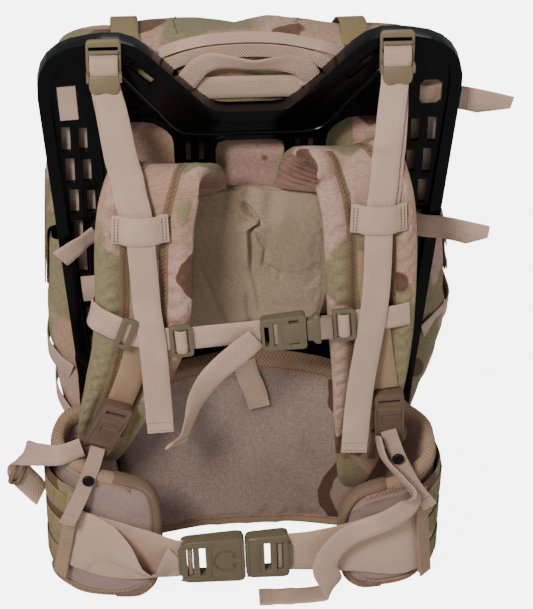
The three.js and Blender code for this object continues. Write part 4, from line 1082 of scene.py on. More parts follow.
for side, piece in shoulderPads.items():
    cloth, run = makePad(piece, camoCloth, shoulderPinned, shoulderShape)
    cloth.data.materials.append(liningPink)
    middles = np.array([tuple(polygon.center) for polygon in cloth.data.polygons])
    inner = sideShare(run, middles)[2] > 2.5 * mm
    cloth.data.polygons.foreach_set("material_index", inner.astype(np.int32))
    addFolds(cloth, run, crestGathers)
    bpy.context.view_layer.update()
    reach = np.linspace(0.17, 0.9, 60) * run["length"]
    near = channelTape["off"] - channelTape["nearer"] * fade(reach / run["length"], 0.6, 0.85)
    for edge, word in ((-1, "a"), (1, "b")):
        line = strapPoint(run, reach, edge * near * mm, -0.5 * onRun(run, "thick", reach)) / mm
        tapeOn(f"shoulder_tape_{side}_{word}", cloth, line, channelTape["width"], tapeBrown, 1.0, 0.4)
        sewOn(f"shoulder_stitch_{side}_{word}", cloth, line, 1.2, size=(3.6, 0.55), pitch=2.3, zigzag=0.95)
print("back and shoulder pads ready")

# hip belt: one table of x, y, bottom, top and thickness for the two wings and the pad between them

beltRows = [
    (-95, -229, 42, 104, 8), (-101, -230, 12, 134, 13), (-126, -231, -1, 146, 14), (-161, -224, -1, 157, 14),
    (-184, -201, -1, 174, 14), (-175, -171, -1, 180, 15), (-140, -155, 0, 178, 19), (-98, -146, 3, 190, 24),
    (-50, -141, 7, 211, 26), (0, -138.8, 9, 219, 28), (50, -141, 7, 211, 26), (98, -146, 3, 186, 24),
    (134, -155, 0, 168, 19), (162, -172, -1, 158, 15), (168, -202, -0.8, 146, 14), (148, -225, -0.8, 134, 14),
    (116, -232, -0.8, 126, 14), (93, -231, 12, 112, 13), (86, -230, 36, 88, 8),
]
beltKind = {"across": (0, 0, 1), "power": 5, "step": 5,
            "rows": [(x, y, (low + high) / 2, high - low, thick) for x, y, low, high, thick in beltRows]}
wingKind = {**beltKind, "around": 64, "pressure": 2.5, "cap": 2, "extra": 0.03, "slot": "lining_cloth",
            "mat": liningGrey}
beltPads = {
    "left": {**wingKind, "name": "wing_cloth_left", "node": "belt_wing_left", "first": 0, "last": 6.292,
             "ends": (5, 0), "taped": (0.13, 0.99)},
    "lumbar": {**beltKind, "name": "lumbar_cloth", "node": "lumbar_pad", "first": 6.308, "last": 11.692,
               "ends": (0, 0), "taped": (0.012, 0.988), "around": 84, "pressure": 3, "cap": 3, "extra": 0.02,
               "slot": "pad_cloth", "mat": lumbarGrey},
    "right": {**wingKind, "name": "wing_cloth_right", "node": "belt_wing_right", "first": 11.708, "last": 18,
              "ends": (0, 5), "taped": (0.01, 0.87)},
}


def beltShape(dist, length, wide, high):
    return noiseAt(dist / 0.05, wide / 0.07, 6.2) * 0.9


def beltPinned(run, spots):
    along, off, face, width = sideShare(run, spots)
    return (np.abs(off) > width / 2 - 12 * mm) | (along < 8 * mm) | (along > run["length"] - 8 * mm)


bindingStitch = {"size": (2.4, 0.5), "pitch": 3.2, "zigzag": 0.5}
for side, piece in beltPads.items():
    piece["cloth"], run = makePad(piece, piece["mat"], beltPinned, beltShape)
    for edge, word in ((1, "top"), (-1, "bottom")):
        reach = 16 if side == "lumbar" and edge < 0 else 10
        edgeTape(f"belt_tape_{side}_{word}", piece, run, edge, *piece["taped"], reach)
        for face, where in ((-1, "in"), (1, "out")):
            line, faces = edgeLine(piece, run, edge, *piece["taped"], reach - 2, face)
            makeStitches(f"belt_stitch_{side}_{word}_{where}", line, stitchBrown, faces, **bindingStitch)
wingEnds = {
    "left": [(-138, -229.5, 147.6), (-126, -231, 145.5), (-110, -230.8, 139), (-101, -230, 129),
             (-96, -229.4, 112), (-94.2, -229, 90), (-94, -229, 60), (-96, -229.4, 36), (-101, -230, 14),
             (-112, -230.8, 4), (-126, -231, 2.4), (-138, -229.5, 2.2)],
    "right": [(128, -230.4, 127.8), (116, -232, 125.4), (100, -231.6, 118), (92.5, -231, 108),
              (87.6, -230.4, 94), (85.6, -230, 80), (85.4, -230, 52), (87.6, -230.5, 32), (93, -231, 14),
              (104, -231.7, 4), (116, -232, 2.6), (128, -230.4, 2.4)],
}
wingBinding = {"half": 8.4, "flat": 0.62, "front": (0, -8.6, 0), "inset": 5.6}
for side, rows in wingEnds.items():
    makeTube("wing_binding_" + side, rows, wingBinding["half"], tapeTan, 12, wingBinding["flat"])
    front = np.array(rows, float) + np.array(wingBinding["front"])
    spots, faces = seamOn(beltPads[side]["cloth"], front, 1.0)
    inward = np.array((-1 if side == "left" else 1, 0, 0)) * wingBinding["inset"] * mm
    makeStitches("wing_end_stitch_" + side, spots + inward, stitchBrown, faces, **bindingStitch)
# the wings rest on the floor, so their undersides are flat there
for word, low in (("wing_cloth_{}", 1.6), ("belt_tape_{}_bottom", 0.8), ("wing_binding_{}", 0.3)):
    for side in ("left", "right"):
        resting = bpy.data.objects[word.format(side)]
        spots = getPoints(resting)
        spots[:, 2] = np.maximum(spots[:, 2], low * mm)
        setPoints(resting, spots)
print("hip belt ready")

# straps: each route is a table of places, with the across direction beside each place or once for all

lidBinding = {"node": "lid_binding", "width": 13, "across": (0, 0, 1), "rows": [
    (-82, -104, 515), (-66, -105.6, 525), (-44, -106.6, 532), (-12, -107, 535), (20, -107, 534),
    (46, -106.6, 529), (66, -105.6, 521), (80, -104, 512)]}
lidHem = {"name": "lid_hem", "width": 10, "thick": 1.5, "across": (0, 0.5, 0.87), "rows": [
    (-96, -99, 523), (-70, -103, 537), (-44, -104.4, 544.6), (-12, -105, 547.6), (20, -105, 546.6),
    (48, -104.4, 541), (72, -103, 533), (92, -99, 522)]}
lidStrapLeft = {"node": "lid_strap_left", "width": 25, "across": (1, 0, 0), "mat": webbingKhaki, "rows": [
    (-111, -100, 539.6), (-111, -80, 539.8), (-111, -55, 539.1), (-111, -30, 529.7), (-111, -5, 512.9),
    (-111, 20, 492.4), (-111, 45, 470.1), (-111, 70, 446.3), (-111, 90, 428), (-111, 100.4, 419),
    (-111, 106, 413), (-111, 108.8, 399), (-111, 109.4, 377), (-111, 111.5, 351), (-111, 116, 319),
    (-111, 121, 291)]}
lidStrapRight = {"node": "lid_strap_right", "width": 25, "across": (1, 0, 0), "mat": webbingKhaki, "rows": [
    (97, -100, 533.9), (97, -80, 538.5), (97, -55, 535.6), (97, -30, 523.7), (97, -5, 505.8),
    (97, 20, 485.8), (97, 45, 466.4), (97, 70, 447.1), (97, 90, 428.8), (97, 100.4, 419.8), (97, 106, 413.8),
    (97, 108.8, 399.8), (97, 109.4, 377.8), (97, 111.5, 351.8), (97, 116, 319.8), (97, 121, 291.8)]}
handleBand = {"node": "handle_band", "width": 23, "thick": 1.4, "across": (0, 0, 1), "rows": [
    (-52, -106, 497), (48, -106, 497)]}
haulHandle = {"node": "haul_handle", "width": 20, "thick": 1.5, "rows": [
    (-60, -108.6, 500, 0.8, 0, -0.6), (-54, -110.6, 511, 0.78, 0, -0.62), (-45, -114, 524, 0.68, 0, -0.73),
    (-33, -118, 531.5, 0.45, 0.1, -0.88), (-18, -122, 532, 0.05, 0.45, -0.89),
    (2, -124, 529.5, 0, 0.6, -0.8), (20, -122, 529.5, 0, 0.45, -0.89), (34, -118, 527, -0.35, 0.1, -0.93),
    (48, -113, 518, -0.75, 0, -0.66), (55, -109.6, 506, -0.95, 0, -0.2), (53, -108.4, 497, -0.95, 0, 0.3)]}
pouchFlapLeft = {"node": "pouch_flap_left", "width": 128, "thick": 2, "across": (0, 1, 0), "rows": [
    (-173.9, -17, 346), (-178, -17, 338), (-187.7, -17, 333), (-190, -17, 308), (-191.4, -17, 268)]}
pouchFlapRight = {"node": "pouch_flap_right", "width": 128, "thick": 2, "across": (0, 1, 0), "rows": [
    (173.9, -17, 346), (178, -17, 338), (188.7, -17, 333), (192.2, -17, 308), (195.6, -17, 268)]}
pouchStrapLeftUpper = {"node": "pouch_strap_left_upper", "width": 25, "rows": [
    (-171.6, -102, 176, 0, -0.22, 0.98), (-182.6, -94, 182, 0, -0.22, 0.98),
    (-193.2, -76, 190, 0, -0.22, 0.98), (-192, -40, 196, 0, 0, 1), (-191.4, 10, 196, 0, 0, 1),
    (-191.2, 38, 196, 0, 0, 1)]}
pouchStrapLeftLower = {"node": "pouch_strap_left_lower", "width": 25, "rows": [
    (-166.2, -102, 112, 0, -0.35, 0.94), (-177.2, -94, 122.2, 0, -0.35, 0.94),
    (-187.2, -76, 135.8, 0, -0.35, 0.94), (-186, -40, 146, 0, 0, 1), (-185.4, 10, 146, 0, 0, 1),
    (-185.2, 38, 146, 0, 0, 1)]}
pouchStrapRight = {"node": "pouch_strap_right", "width": 25, "rows": [
    (173.5, -102, 210, 0, -0.24, 0.97), (184.5, -94, 216.6, 0, -0.24, 0.97),
    (200.8, -76, 225.4, 0, -0.24, 0.97), (199.6, -40, 232, 0, 0, 1), (199, 10, 232, 0, 0, 1),
    (198.8, 38, 232, 0, 0, 1)]}
shoulderWebbingLeft = {"node": "shoulder_webbing_left", "width": 25, "across": (1, 0, 0),
    "mat": webbingBrown, "rows": [
    (-100, -225, 392), (-101, -226.7, 368), (-102, -227.6, 340), (-105, -227.2, 310), (-111, -225.3, 280),
    (-119, -221.8, 250), (-127, -218.6, 226)]}
shoulderWebbingRight = {"node": "shoulder_webbing_right", "width": 25, "across": (1, 0, 0),
    "mat": webbingBrown, "rows": [
    (102, -224.7, 394), (103, -226.7, 368), (106, -227.6, 340), (110, -227.3, 310), (114, -225.6, 280),
    (118, -223.3, 256), (121, -221, 236)]}
loadLifterLeft = {"node": "load_lifter_left", "width": 25, "across": (1, 0, 0), "hems": [(-15, 0)], "rows": [
    (-108, -221.8, 424), (-110.8, -216.3, 439), (-114, -208.3, 451.2), (-116.8, -196.3, 463.1),
    (-120.4, -182.3, 470.5), (-127, -152, 502), (-129.6, -135, 508), (-131, -127.2, 521),
    (-131, -126.4, 539), (-131, -127.6, 546), (-131, -131.8, 548.6), (-131, -136.4, 545.6),
    (-131, -138.4, 535), (-128.8, -142, 518), (-124.3, -156.5, 506), (-116.4, -184.7, 472.9),
    (-112.6, -198.7, 465.5), (-109.9, -210.7, 453.6), (-106.7, -218.7, 441.4), (-104, -224.6, 424),
    (-103, -228.6, 402), (-101, -231.8, 372), (-99, -232.7, 340), (-95, -232.7, 306), (-92, -233.1, 256),
    (-89, -233.5, 203)]}
keeperLoopLeft = {"node": "keeper_loop_left", "width": 27, "across": (0, 0.2, 1), "rows": [
    (-129, -221.4, 424), (-122, -223.2, 424), (-116, -226.6, 424), (-104, -227.8, 424), (-92, -226.6, 424),
    (-86, -223.2, 424), (-79, -221.6, 424)]}
loadLifterRight = {"node": "load_lifter_right", "width": 25, "across": (1, 0, 0), "hems": [(-15, 0)],
    "rows": [
    (111, -221, 428), (113.2, -217.4, 443), (115.8, -209.8, 457), (118, -197.8, 474), (121, -183.8, 478.1),
    (126, -152, 502), (127.8, -135, 510), (129, -127.2, 523), (129, -126.4, 541), (129, -127.6, 548),
    (129, -131.8, 550.6), (129, -136.4, 547.6), (129, -138.4, 537), (127.2, -142, 520), (123.5, -156.5, 506),
    (117.1, -186.2, 480.5), (114, -200.2, 476.4), (111.8, -212.2, 459.4), (109.2, -220.2, 445.4),
    (107, -224.4, 428), (107, -228.6, 406), (107, -231.8, 376), (106, -232.8, 344), (102, -232.8, 300),
    (96, -233.2, 240), (93, -233.6, 170)]}
keeperLoopRight = {"node": "keeper_loop_right", "width": 27, "across": (0, 0.2, 1), "rows": [
    (82, -221.6, 428), (89, -223, 428), (95, -226.4, 428), (107, -227.6, 428), (119, -226.4, 428),
    (125, -223, 428), (132, -221.2, 428)]}
sternumStrapLeft = {"node": "sternum_strap_left", "width": 25, "rows": [
    (-137, -208.4, 337, 0.3, 0, 0.95), (-145, -210.4, 337, 0.3, 0, 0.95),
    (-149.8, -218.2, 335.6, 0.2, 0.1, 0.97), (-145.6, -227, 332.6, 0.4, 0, 0.92),
    (-136, -230.2, 328, 0.42, 0, 0.91), (-118, -231.4, 318, 0.3, 0, 0.95), (-100, -230.4, 311, 0.1, 0, 1),
    (-72, -230.2, 307.9, -0.08, 0, 1), (-40, -230.8, 310.6, -0.08, 0, 1), (2.7, -231.2, 314.2, -0.08, 0, 1)]}
sternumStrapRight = {"node": "sternum_strap_right", "width": 25, "across": (-0.08, 0, 1), "rows": [
    (67.4, -231, 319.7), (88, -230.2, 321.5), (112, -229.8, 323.5), (126, -229.6, 324.7),
    (139, -226.7, 325.8)]}
sternumTail = {"node": "sternum_tail", "width": 25, "hems": [(-12, 0)], "rows": [
    (-1, -235, 309, -0.1, 0, 1), (-12, -238, 301, -0.35, 0, 0.94), (-27, -239, 287, -0.6, -0.05, 0.8),
    (-42, -236, 267, -0.78, -0.2, 0.6), (-52, -230, 243, -0.85, -0.45, 0.3),
    (-58, -223, 217, -0.6, -0.78, 0.2), (-64, -216, 191, -0.5, -0.85, 0.1),
    (-75, -210, 166, -0.75, -0.6, 0.3)]}
pullTabLeft = {"node": "pull_tab_left", "width": 15, "across": (0.89, 0, -0.45), "hems": [(-15, 0)],
    "mat": satinTan, "rows": [
    (-148, -222.2, 178), (-152, -230.2, 168), (-158, -239.2, 156), (-169, -247.2, 132), (-180, -249.2, 108)]}
pullTabRight = {"node": "pull_tab_right", "width": 15, "across": (0.89, 0, 0.45), "hems": [(-15, 0)],
    "mat": satinTan, "rows": [
    (126, -225.6, 188), (130, -227.6, 176), (135, -233.4, 163), (150, -242, 134), (168, -243.6, 107)]}
beltCoverLeft = {"node": "belt_cover_left", "width": 118, "thick": 3, "across": (0, 0, 1), "rows": [
    (-173.5, -233.2, 79.8), (-178.5, -229.3, 81.1), (-189, -219.2, 83.9), (-195.8, -205.6, 86.3),
    (-196.9, -191.6, 87.8), (-193.9, -178.8, 88.7), (-187.6, -166.5, 89.3), (-177.4, -155.8, 89.5),
    (-164.6, -148.6, 89.1), (-151.8, -143.6, 88.7)]}
beltCoverRight = {"node": "belt_cover_right", "width": 118, "thick": 3, "across": (0, 0, 1), "rows": [
    (157.6, -236, 67.2), (165.6, -229.2, 68.6), (174, -218.7, 70.5), (179.8, -206.6, 72.4),
    (181.4, -193.5, 74.2), (179.7, -180.7, 76.1), (175, -168.5, 77.8), (166.8, -157.7, 79.5),
    (156.4, -149.9, 81), (145.6, -144.2, 82.6)]}
beltWebbingLeft = {"node": "belt_webbing_left", "width": 48, "thick": 1.8, "across": (0, 0, 1),
    "widths": [76, 74, 70, 64, 54, 48, 46], "mat": beltTan, "rows": [
    (-164, -235, 72), (-150, -239, 69), (-128, -241, 62), (-108, -242.4, 58), (-92, -243, 55),
    (-80, -243.4, 53), (-70, -243.2, 52.6)]}
beltFoldLeft = {"name": "belt_fold_left", "width": 48, "thick": 1.8,
    "widths": [78, 77, 73, 64, 50, 40, 36, 40, 46], "mat": beltTan, "rows": [
    (-181, -229.6, 78, 0, 0, 1), (-166, -237.4, 75, 0, 0, 1), (-150, -242.6, 68, 0, -0.05, 1),
    (-134, -246, 58, 0, -0.3, 0.95), (-118, -248.6, 45, 0, -0.62, 0.78), (-104, -249, 37, 0, -0.75, 0.66),
    (-93, -248.4, 37, 0, -0.66, 0.75), (-82, -247, 44, 0, -0.3, 0.95), (-71, -246, 52, 0, 0, 1)]}
beltWebbingRight = {"node": "belt_webbing_right", "width": 48, "thick": 1.8, "across": (0, 0, 1),
    "widths": [92, 90, 86, 76, 64, 56, 50, 47], "mat": beltTan, "rows": [
    (163, -231, 62), (151, -237.4, 61.5), (136, -240.6, 60.6), (116, -242, 59.6), (94, -242.6, 58),
    (72, -243.4, 57), (52, -243.6, 56.2), (31, -243.2, 55.8)]}
lowerStrapLeft = {"node": "lower_strap_left", "width": 24, "rows": [
    (-163, -227, 183, 0.2, 0, 0.98), (-184, -231, 178, 0.1, 0, 1), (-203, -223, 173, 0.15, 0.1, 0.98),
    (-216, -212, 166, 0.45, 0.25, 0.85), (-223, -204, 153, 0.78, 0.4, 0.48),
    (-225, -199.6, 138, 0.85, 0.45, 0.12), (-221, -195.6, 124, 0.85, 0.42, -0.3),
    (-213, -192.4, 110, 0.78, 0.41, -0.48), (-204.4, -190.5, 95, 0.62, 0.42, -0.66)]}
lowerStrapRight = {"node": "lower_strap_right", "width": 25, "hems": [(-13, 0), (-34, -24)], "rows": [
    (116, -225.6, 182, 0.1, -0.75, 0.6), (122, -238, 164, 0.15, -0.8, 0.55),
    (138, -248, 147, 0.05, -0.68, 0.72), (149, -253, 131, -0.2, -0.36, 0.9),
    (143, -255, 116, -0.45, -0.1, 0.88), (124, -256.6, 102, -0.42, 0, 0.9), (88, -257, 84, -0.5, 0, 0.86),
    (71, -258, 63, -0.85, -0.12, 0.5), (67, -258, 44, -0.97, -0.2, 0.1),
    (74, -256.4, 25, -0.88, -0.42, -0.2), (75, -254, 13, -0.55, -0.8, -0.2), (60, -252, 6.4, 0, -1, 0.1),
    (32, -250, 3.2, 0, -1, 0.1), (4, -249, 2.6, 0, -1, 0.1)]}
harnessTab = {"node": "harness_tab", "width": 22, "across": (1, 0, 0), "hems": [(-10, 0)], "rows": [
    (-6, -152, 220), (-2, -157, 206), (4, -159, 190), (9, -160, 170)]}
frameLoopTopLeft = {"node": "frame_loop_top_left", "width": 17, "across": (1, 0, 0), "rows": [
    (-163, -118.2, 475), (-164, -119.2, 492), (-165, -118.2, 509)]}
frameEndTopRight = {"node": "frame_end_top_right", "width": 25, "slant": 30, "rows": [
    (150, -110.8, 484, 0.2, 0, 0.98), (163, -110.6, 483.5, 0.2, 0, 0.98), (171, -106.9, 482.5, 0.2, 0, 0.98),
    (180, -105.6, 481.5, 0.2, 0, 0.98), (192, -105.6, 479.5, 0.2, 0, 0.98),
    (212, -106.5, 475, 0.24, 0, 0.97), (240, -108.5, 468, 0.29, 0, 0.96)]}
frameEndRight = {"node": "frame_end_right", "width": 25, "slant": 20, "hems": [(-10, 0)], "rows": [
    (147, -118.3, 353, 0.05, 0, 1), (155, -121.9, 353, 0.05, 0, 1), (163, -126.3, 353, 0.05, 0, 1),
    (180, -129.9, 353, 0.05, 0, 1), (200, -136.9, 352, 0.1, 0, 1), (222, -144.9, 350, 0.15, 0, 0.99)]}
frameEndLeft = {"node": "frame_end_left", "width": 22, "across": (0.45, 0, 0.89), "rows": [
    (-143, -122.3, 354), (-150, -124.8, 350), (-158, -127.8, 345), (-168, -129.8, 338), (-177, -130.8, 331)]}
frameLoopLeft = {"node": "frame_loop_left", "width": 18, "across": (1, 0, 0), "rows": [
    (-150, -118.2, 302), (-149, -120.7, 288), (-148, -118.2, 274)]}
frameLoopRight = {"node": "frame_loop_right", "width": 18, "across": (1, 0, 0), "rows": [
    (150, -118.2, 306), (149, -120.7, 290), (148, -118.2, 274)]}

# the shoulder webbing sinks into the channel of its pad, above a height and over a rise
channelSink, channelFoot, channelRise = 2.4, 235, 50
for piece in (shoulderWebbingLeft, shoulderWebbingRight):
    piece["rows"] = [(x, y + channelSink * min(1, max(0, (z - channelFoot) / channelRise)), z)
                     for x, y, z in piece["rows"]]

# straps and cloth flaps made along their routes
runs = {}
for piece in (
    lidBinding, lidStrapLeft, lidStrapRight, handleBand, haulHandle, pouchStrapLeftUpper,
    pouchStrapLeftLower, pouchStrapRight, shoulderWebbingLeft, shoulderWebbingRight, loadLifterLeft,
    keeperLoopLeft, loadLifterRight, keeperLoopRight, sternumStrapLeft, sternumStrapRight, sternumTail,
    pullTabLeft, pullTabRight, beltWebbingLeft, beltWebbingRight, lowerStrapLeft, lowerStrapRight,
    harnessTab, frameLoopTopLeft, frameEndTopRight, frameEndRight, frameEndLeft, frameLoopLeft,
    frameLoopRight,
):
    runs[piece["node"]] = makeStrap(piece, piece.get("mat", webbingTan))[1]
for piece in (beltFoldLeft, lidHem):
    makeStrap(piece, piece.get("mat", webbingTan))
for piece in (pouchFlapLeft, pouchFlapRight, beltCoverLeft, beltCoverRight):
    piece["cloth"], runs[piece["node"]] = makeStrap(piece, camoCloth)

# bands with tacks and a front binding on the belt covers, tapes on the pouch flaps
coverBand = {"places": (-37, -1, 35), "width": 24, "thick": 1.5, "lift": 2.5, "tackLift": 3.6}
coverBinding = {"from": 5 * mm, "half": 58, "width": 15, "thick": 2.2, "lift": 4.4}
for piece, way in ((beltCoverLeft, 1), (beltCoverRight, -1)):
    node, run = piece["node"], runs[piece["node"]]
    dist = np.linspace(2, run["length"] / mm - 4, 40) * mm
    for k, off in enumerate(coverBand["places"]):
        line = strapPoint(run, dist, off * mm, way * coverBand["lift"] * mm) / mm
        makeStrap({"name": f"cover_band_{node}_{k + 1}", "width": coverBand["width"],
                   "thick": coverBand["thick"], "across": (0, 0, 1),
                   "rows": [tuple(q) for q in line[::3]]}, webbingKhaki)
        for share in np.arange(0.22, 0.95, 0.24):
            place = np.full(8, share * run["length"])
            wide = np.linspace(-10, 10, 8) * mm + off * mm
            spots = strapPoint(run, place, wide, way * coverBand["tackLift"] * mm)
            makeStitches(f"cover_tack_{node}_{k + 1}_{int(share * 100)}", spots, stitchTan,
                         onRun(run, "face", place)[0] * way, size=(1.8, 0.7), pitch=2.0)
    place = np.full(9, coverBinding["from"])
    wide = np.linspace(-coverBinding["half"], coverBinding["half"], 9) * mm
    edge = strapPoint(run, place, wide, way * coverBinding["lift"] * mm) / mm
    ahead = onRun(run, "tangent", place)[0]
    makeStrap({"name": "cover_binding_" + node, "width": coverBinding["width"],
               "thick": coverBinding["thick"], "rows": [(*q, *ahead) for q in edge]}, tapeTan)
flapTape = {"half": 62, "thick": 1.3, "lift": 2.0}
for piece, way in ((pouchFlapLeft, 1), (pouchFlapRight, -1)):
    run = runs[piece["node"]]
    for k, (fromEnd, width, mat) in enumerate(((6, 11, tapeTan), (40, 24, webbingKhaki))):
        place = np.full(9, run["length"] - fromEnd * mm)
        outward = 1 if onRun(run, "face", place)[0][0] * way < 0 else -1
        wide = np.linspace(-flapTape["half"], flapTape["half"], 9) * mm
        line = strapPoint(run, place, wide, outward * flapTape["lift"] * mm) / mm
        ahead = onRun(run, "tangent", place)[0]
        makeStrap({"name": f"flap_tape_{piece['node']}_{k + 1}", "width": width, "thick": flapTape["thick"],
                   "rows": [(*q, *ahead) for q in line]}, mat)
print("webbing ready")

# sewn ends and edges of the straps
hemReach = 0.43


def sewAcross(name, piece, places, mat, face, **stitch):
    run, thick = runs[piece["node"]], piece.get("thick", webbingThick)
    for k, place in enumerate(places):
        dist = np.full(12, place * mm if place >= 0 else run["length"] + place * mm)
        wide = np.linspace(-hemReach, hemReach, 12) * piece["width"] * mm
        line = strapPoint(run, dist, wide, face * (thick * 0.95 + 0.1) * mm)
        makeStitches(f"{name}_{k + 1}", line, mat, onRun(run, "face", dist)[0] * face, **stitch)


for piece in (loadLifterLeft, loadLifterRight, sternumTail, pullTabLeft, pullTabRight, lowerStrapRight):
    for way, word in ((1, "a"), (-1, "b")):
        sewAcross(f"hem_stitch_{piece['node']}_{word}", piece, (-3, -12), stitchTan, way,
                  size=(2, 0.5), pitch=2.9)
for piece in (keeperLoopLeft, keeperLoopRight):
    sewAcross("keeper_stitch_" + piece["node"], piece, (2.6, 6, -2.6, -6), stitchBrown, -1,
              size=(2, 0.55), pitch=2.6)

# buckles, each with its place and its turns


def localTurn(seat):
    return Matrix.Rotation(seat.get("pitch", 0), 3, "X") @ Matrix.Rotation(seat["roll"], 3, "Y")


def blocksOn(seat, mat, bevel, blocks):
    turn = localTurn(seat)
    for name, size, offset in blocks:
        makeBlock(name, size, tuple(turn @ Vector(offset) + Vector(seat["at"])), mat, bevel, turn)


ladderLocks = {
    "left": {"node": "ladder_lock_left", "at": (-131, -131.6, 539)},
    "right": {"node": "ladder_lock_right", "at": (129, -131.6, 541)},
}
ladderTongue = [(-13, 8), (13, 8), (13.6, -1), (12.6, -6), (9.4, -8.8), (5.4, -8.6), (2.4, -7.2),
                (-2.4, -7.2), (-5.4, -8.6), (-9.4, -8.8), (-12.6, -6), (-13.6, -1)]
ladderLean = Matrix.Rotation(math.radians(-13), 3, "X")
ladderFront = {"tongue": (-143.6, -14), "arm": (-138.6, -9), "bar": (-134.6, 13.6), "apart": 14.4}
for side, seat in ladderLocks.items():
    moulding("ladder_lock_" + side + "_body", seat["node"], buckleKhaki, 1.2)
    x, z = seat["at"][0], seat["at"][2]
    tongueY, tongueUp = ladderFront["tongue"]
    armY, armUp = ladderFront["arm"]
    barY, barUp = ladderFront["bar"]
    place = (x, tongueY, z + tongueUp)
    makePlate("ladder_tongue_" + side, ladderTongue, 2.8, place, ladderLean, buckleKhaki, 1.0)
    for way, word in ((-1, "a"), (1, "b")):
        place = (x + way * ladderFront["apart"], armY, z + armUp)
        makeBlock(f"ladder_arm_{side}_{word}", (2.8, 10, 8), place, buckleKhaki, 0.9)
    makeBlock("ladder_bar_" + side, (27, 3.2, 3.4), (x, barY, z + barUp), buckleKhaki, 1.3)

chestRoll = -0.085
sliders = {
    "left": {"node": "sternum_slider_left", "at": (-69, -233.4, 308.1)},
    "right": {"node": "sternum_slider_right", "at": (78.4, -233.8, 320.7)},
    "outer": {"node": "sternum_slider_outer", "at": (-121, -233.4, 303.7), "moved": (-119, -234.2, 319),
              "tilt": 24},
}
for side, seat in sliders.items():
    slider = moulding("sternum_slider_" + side + "_body", seat["node"], buckleOlive, 1.0)
    x, y, z = seat["at"]
    if side == "outer":
        tilt = np.array(Matrix.Rotation(math.radians(seat["tilt"]), 3, "Y"))
        turned = (getPoints(slider) - np.array(seat["at"]) * mm) @ tilt.T
        setPoints(slider, turned + np.array(seat["moved"]) * mm)
        continue
    makeStrap({"name": "sternum_wrap_" + side, "width": 25, "thick": 1.5, "across": (chestRoll, 0, 1),
               "step": 1.2, "rows": [(x + dx, y + dy, z) for dx, dy in (
                   (-4.7, 1.6), (-4.2, -1.4), (-2, -3.0), (2, -3.0), (4.2, -1.4), (4.7, 1.6))]}, webbingTan)

chestBuckle = {"at": (35, -235, 317.1), "roll": chestRoll}
chestPlug = [(9.6, -11), (14, -11), (17, -15.5), (22, -15.5), (22, 15.5), (17, 15.5), (14, 11), (9.6, 11)]
moulding("sternum_socket_body", "sternum_buckle_socket", buckleOlive, 1.6)
plug = makePlate("sternum_plug_body", chestPlug, 9, chestBuckle["at"], localTurn(chestBuckle),
                 buckleOlive, 1.4)
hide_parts("sternum_buckle_plug")
blocksOn(chestBuckle, buckleOlive, 0.7, [("sternum_socket_face", (22, 1.6, 22), (-2, -4.6, 0))])
blocksOn(chestBuckle, buckleOlive, 1.2, [("sternum_prong_a", (12, 6, 4.2), (-1, -1.0, -15.2)),
                                         ("sternum_prong_b", (12, 6, 4.2), (-1, -1.0, 15.2))])
blocksOn(chestBuckle, webbingTan, 1.4, [("sternum_web_a", (6.5, 6, 24), (-17.6, -0.6, 0)),
                                        ("sternum_web_b", (12, 6.4, 24), (27, -0.4, 0))])

releases = {
    "left": {"node": "quick_release_left", "at": (-137, -222.8, 207), "roll": 0.42, "pitch": 0.12},
    "right": {"node": "quick_release_right", "at": (126, -221.6, 208), "roll": -0.06, "pitch": 0.12},
}
for side, seat in releases.items():
    moulding("release_" + side + "_body", seat["node"], buckleBrown, 1.5)
    blocksOn(seat, buckleBrown, 0.6, [(f"release_{word}_{side}", size, spot) for word, size, spot in (
        ("panel", (23, 2.2, 10), (0, -4.5, 4.6)), ("lip_top", (19, 2, 1.8), (0, -5.8, 3.2)),
        ("lip_left", (1.8, 2, 9), (-8.6, -5.8, -1.4)), ("lip_right", (1.8, 2, 5), (8.6, -5.8, 0.6)),
        ("rail_left", (2.2, 2.2, 34), (-13, -4.9, -8)), ("rail_right", (2.2, 2.2, 34), (13, -4.9, -8)))])
    blocksOn(seat, buckleBrown, 0.4, [
        (f"release_rib_{side}_{k + 1}", (17, 1.5, 1.2), (0, -5.1, -5.4 - k * 2.7)) for k in range(6)])

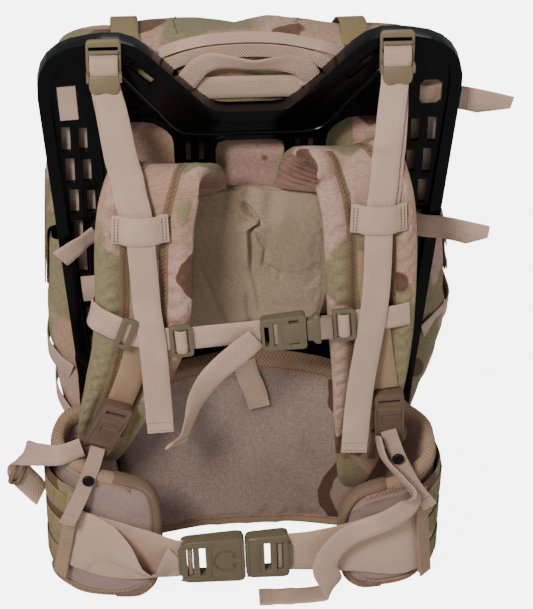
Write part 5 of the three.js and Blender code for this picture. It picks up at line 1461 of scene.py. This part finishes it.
snapSize = 5.6
snaps = {"left": (-158, -244.6, 156), "right": (135, -238.2, 163)}
for side, spot in snaps.items():
    snap = makeDisc("snap_button_" + side, snapSize, 28)
    bpy.ops.object.mode_set(mode="EDIT")
    bpy.ops.mesh.select_all(action="DESELECT")
    bpy.ops.object.mode_set(mode="OBJECT")
    for polygon in snap.data.polygons:
        polygon.select = polygon.normal.y < -0.9
    bpy.ops.object.mode_set(mode="EDIT")
    bpy.ops.mesh.select_mode(type="FACE")
    for thick, deep in ((1.3, 0), (0.7, -0.7), (1.6, 0.5)):
        bpy.ops.mesh.inset(thickness=thick * mm, depth=deep * mm)
    bpy.ops.object.mode_set(mode="OBJECT")
    useModifier(snap, "BEVEL", width=0.5 * mm, segments=2, limit_method="ANGLE", angle_limit=math.radians(25))
    setPoints(snap, getPoints(snap) + np.array(spot) * mm)
    smoothFaces(snap, 50)
    keep(snap, snapBlack, ["snap_" + side])

beltBuckle = {"at": (-20, -243, 53), "roll": -0.045}
moulding("belt_socket_body", "belt_buckle_left", buckleOlive, 2.4)
moulding("belt_plug_body", "belt_buckle_right", buckleOlive, 2.4)
adjuster = moulding("adjuster_body", "adjuster_left", buckleKhaki, 1.2)
adjusterShift = (4, -5.6, 17)
setPoints(adjuster, getPoints(adjuster) + np.array(adjusterShift) * mm)
blocksOn(beltBuckle, webbingTan, 1.6, [("belt_web_left", (5.2, 8, 35), (-43, 0, 0)),
                                       ("belt_web_right", (5.2, 8, 35), (44, 0, 0))])
blocksOn(beltBuckle, buckleOlive, 0.8, [
    ("belt_end_left", (5, 9, 30), (-52, -1, 0)), ("belt_end_right", (5, 9, 28), (53, -1, 0)),
    ("belt_rail_left_top", (34, 2, 2.4), (-36, -6.6, 21)),
    ("belt_rail_left_low", (34, 2, 2.4), (-36, -6.6, -21)),
    ("belt_rail_right_top", (30, 2, 2.4), (37, -6.6, 20)),
    ("belt_rail_right_low", (30, 2, 2.4), (37, -6.6, -20)),
    ("belt_rib_left", (2, 2, 40), (-23.5, -6.6, 0)), ("belt_rib_right", (2, 2, 38), (24, -6.6, 0)),
    ("belt_lip_left", (3, 3, 46), (8.4, -6, 0)), ("belt_lip_right", (3, 3, 46), (12.6, -6, 0))])
buttonLines = {
    "ring": [(2 * math.cos(t) * 6.2 - 8, math.sin(t) * 12.4) for t in np.linspace(0.75, 5.53, 22)],
    "top": [(1.2, 8.6), (-2.6, 4.6), (5, 4.2)],
    "low": [(1.2, -8.6), (-2.6, -4.6), (5, -4.2)],
}
buttonFace, buttonLine = -6.6, 0.9
for word, points in buttonLines.items():
    rows = [tuple(localTurn(beltBuckle) @ Vector((x, buttonFace, z)) + Vector(beltBuckle["at"]))
            for x, z in points]
    makeTube("belt_button_" + word, rows, buttonLine, buckleBrown, 6)
print("buckles ready")
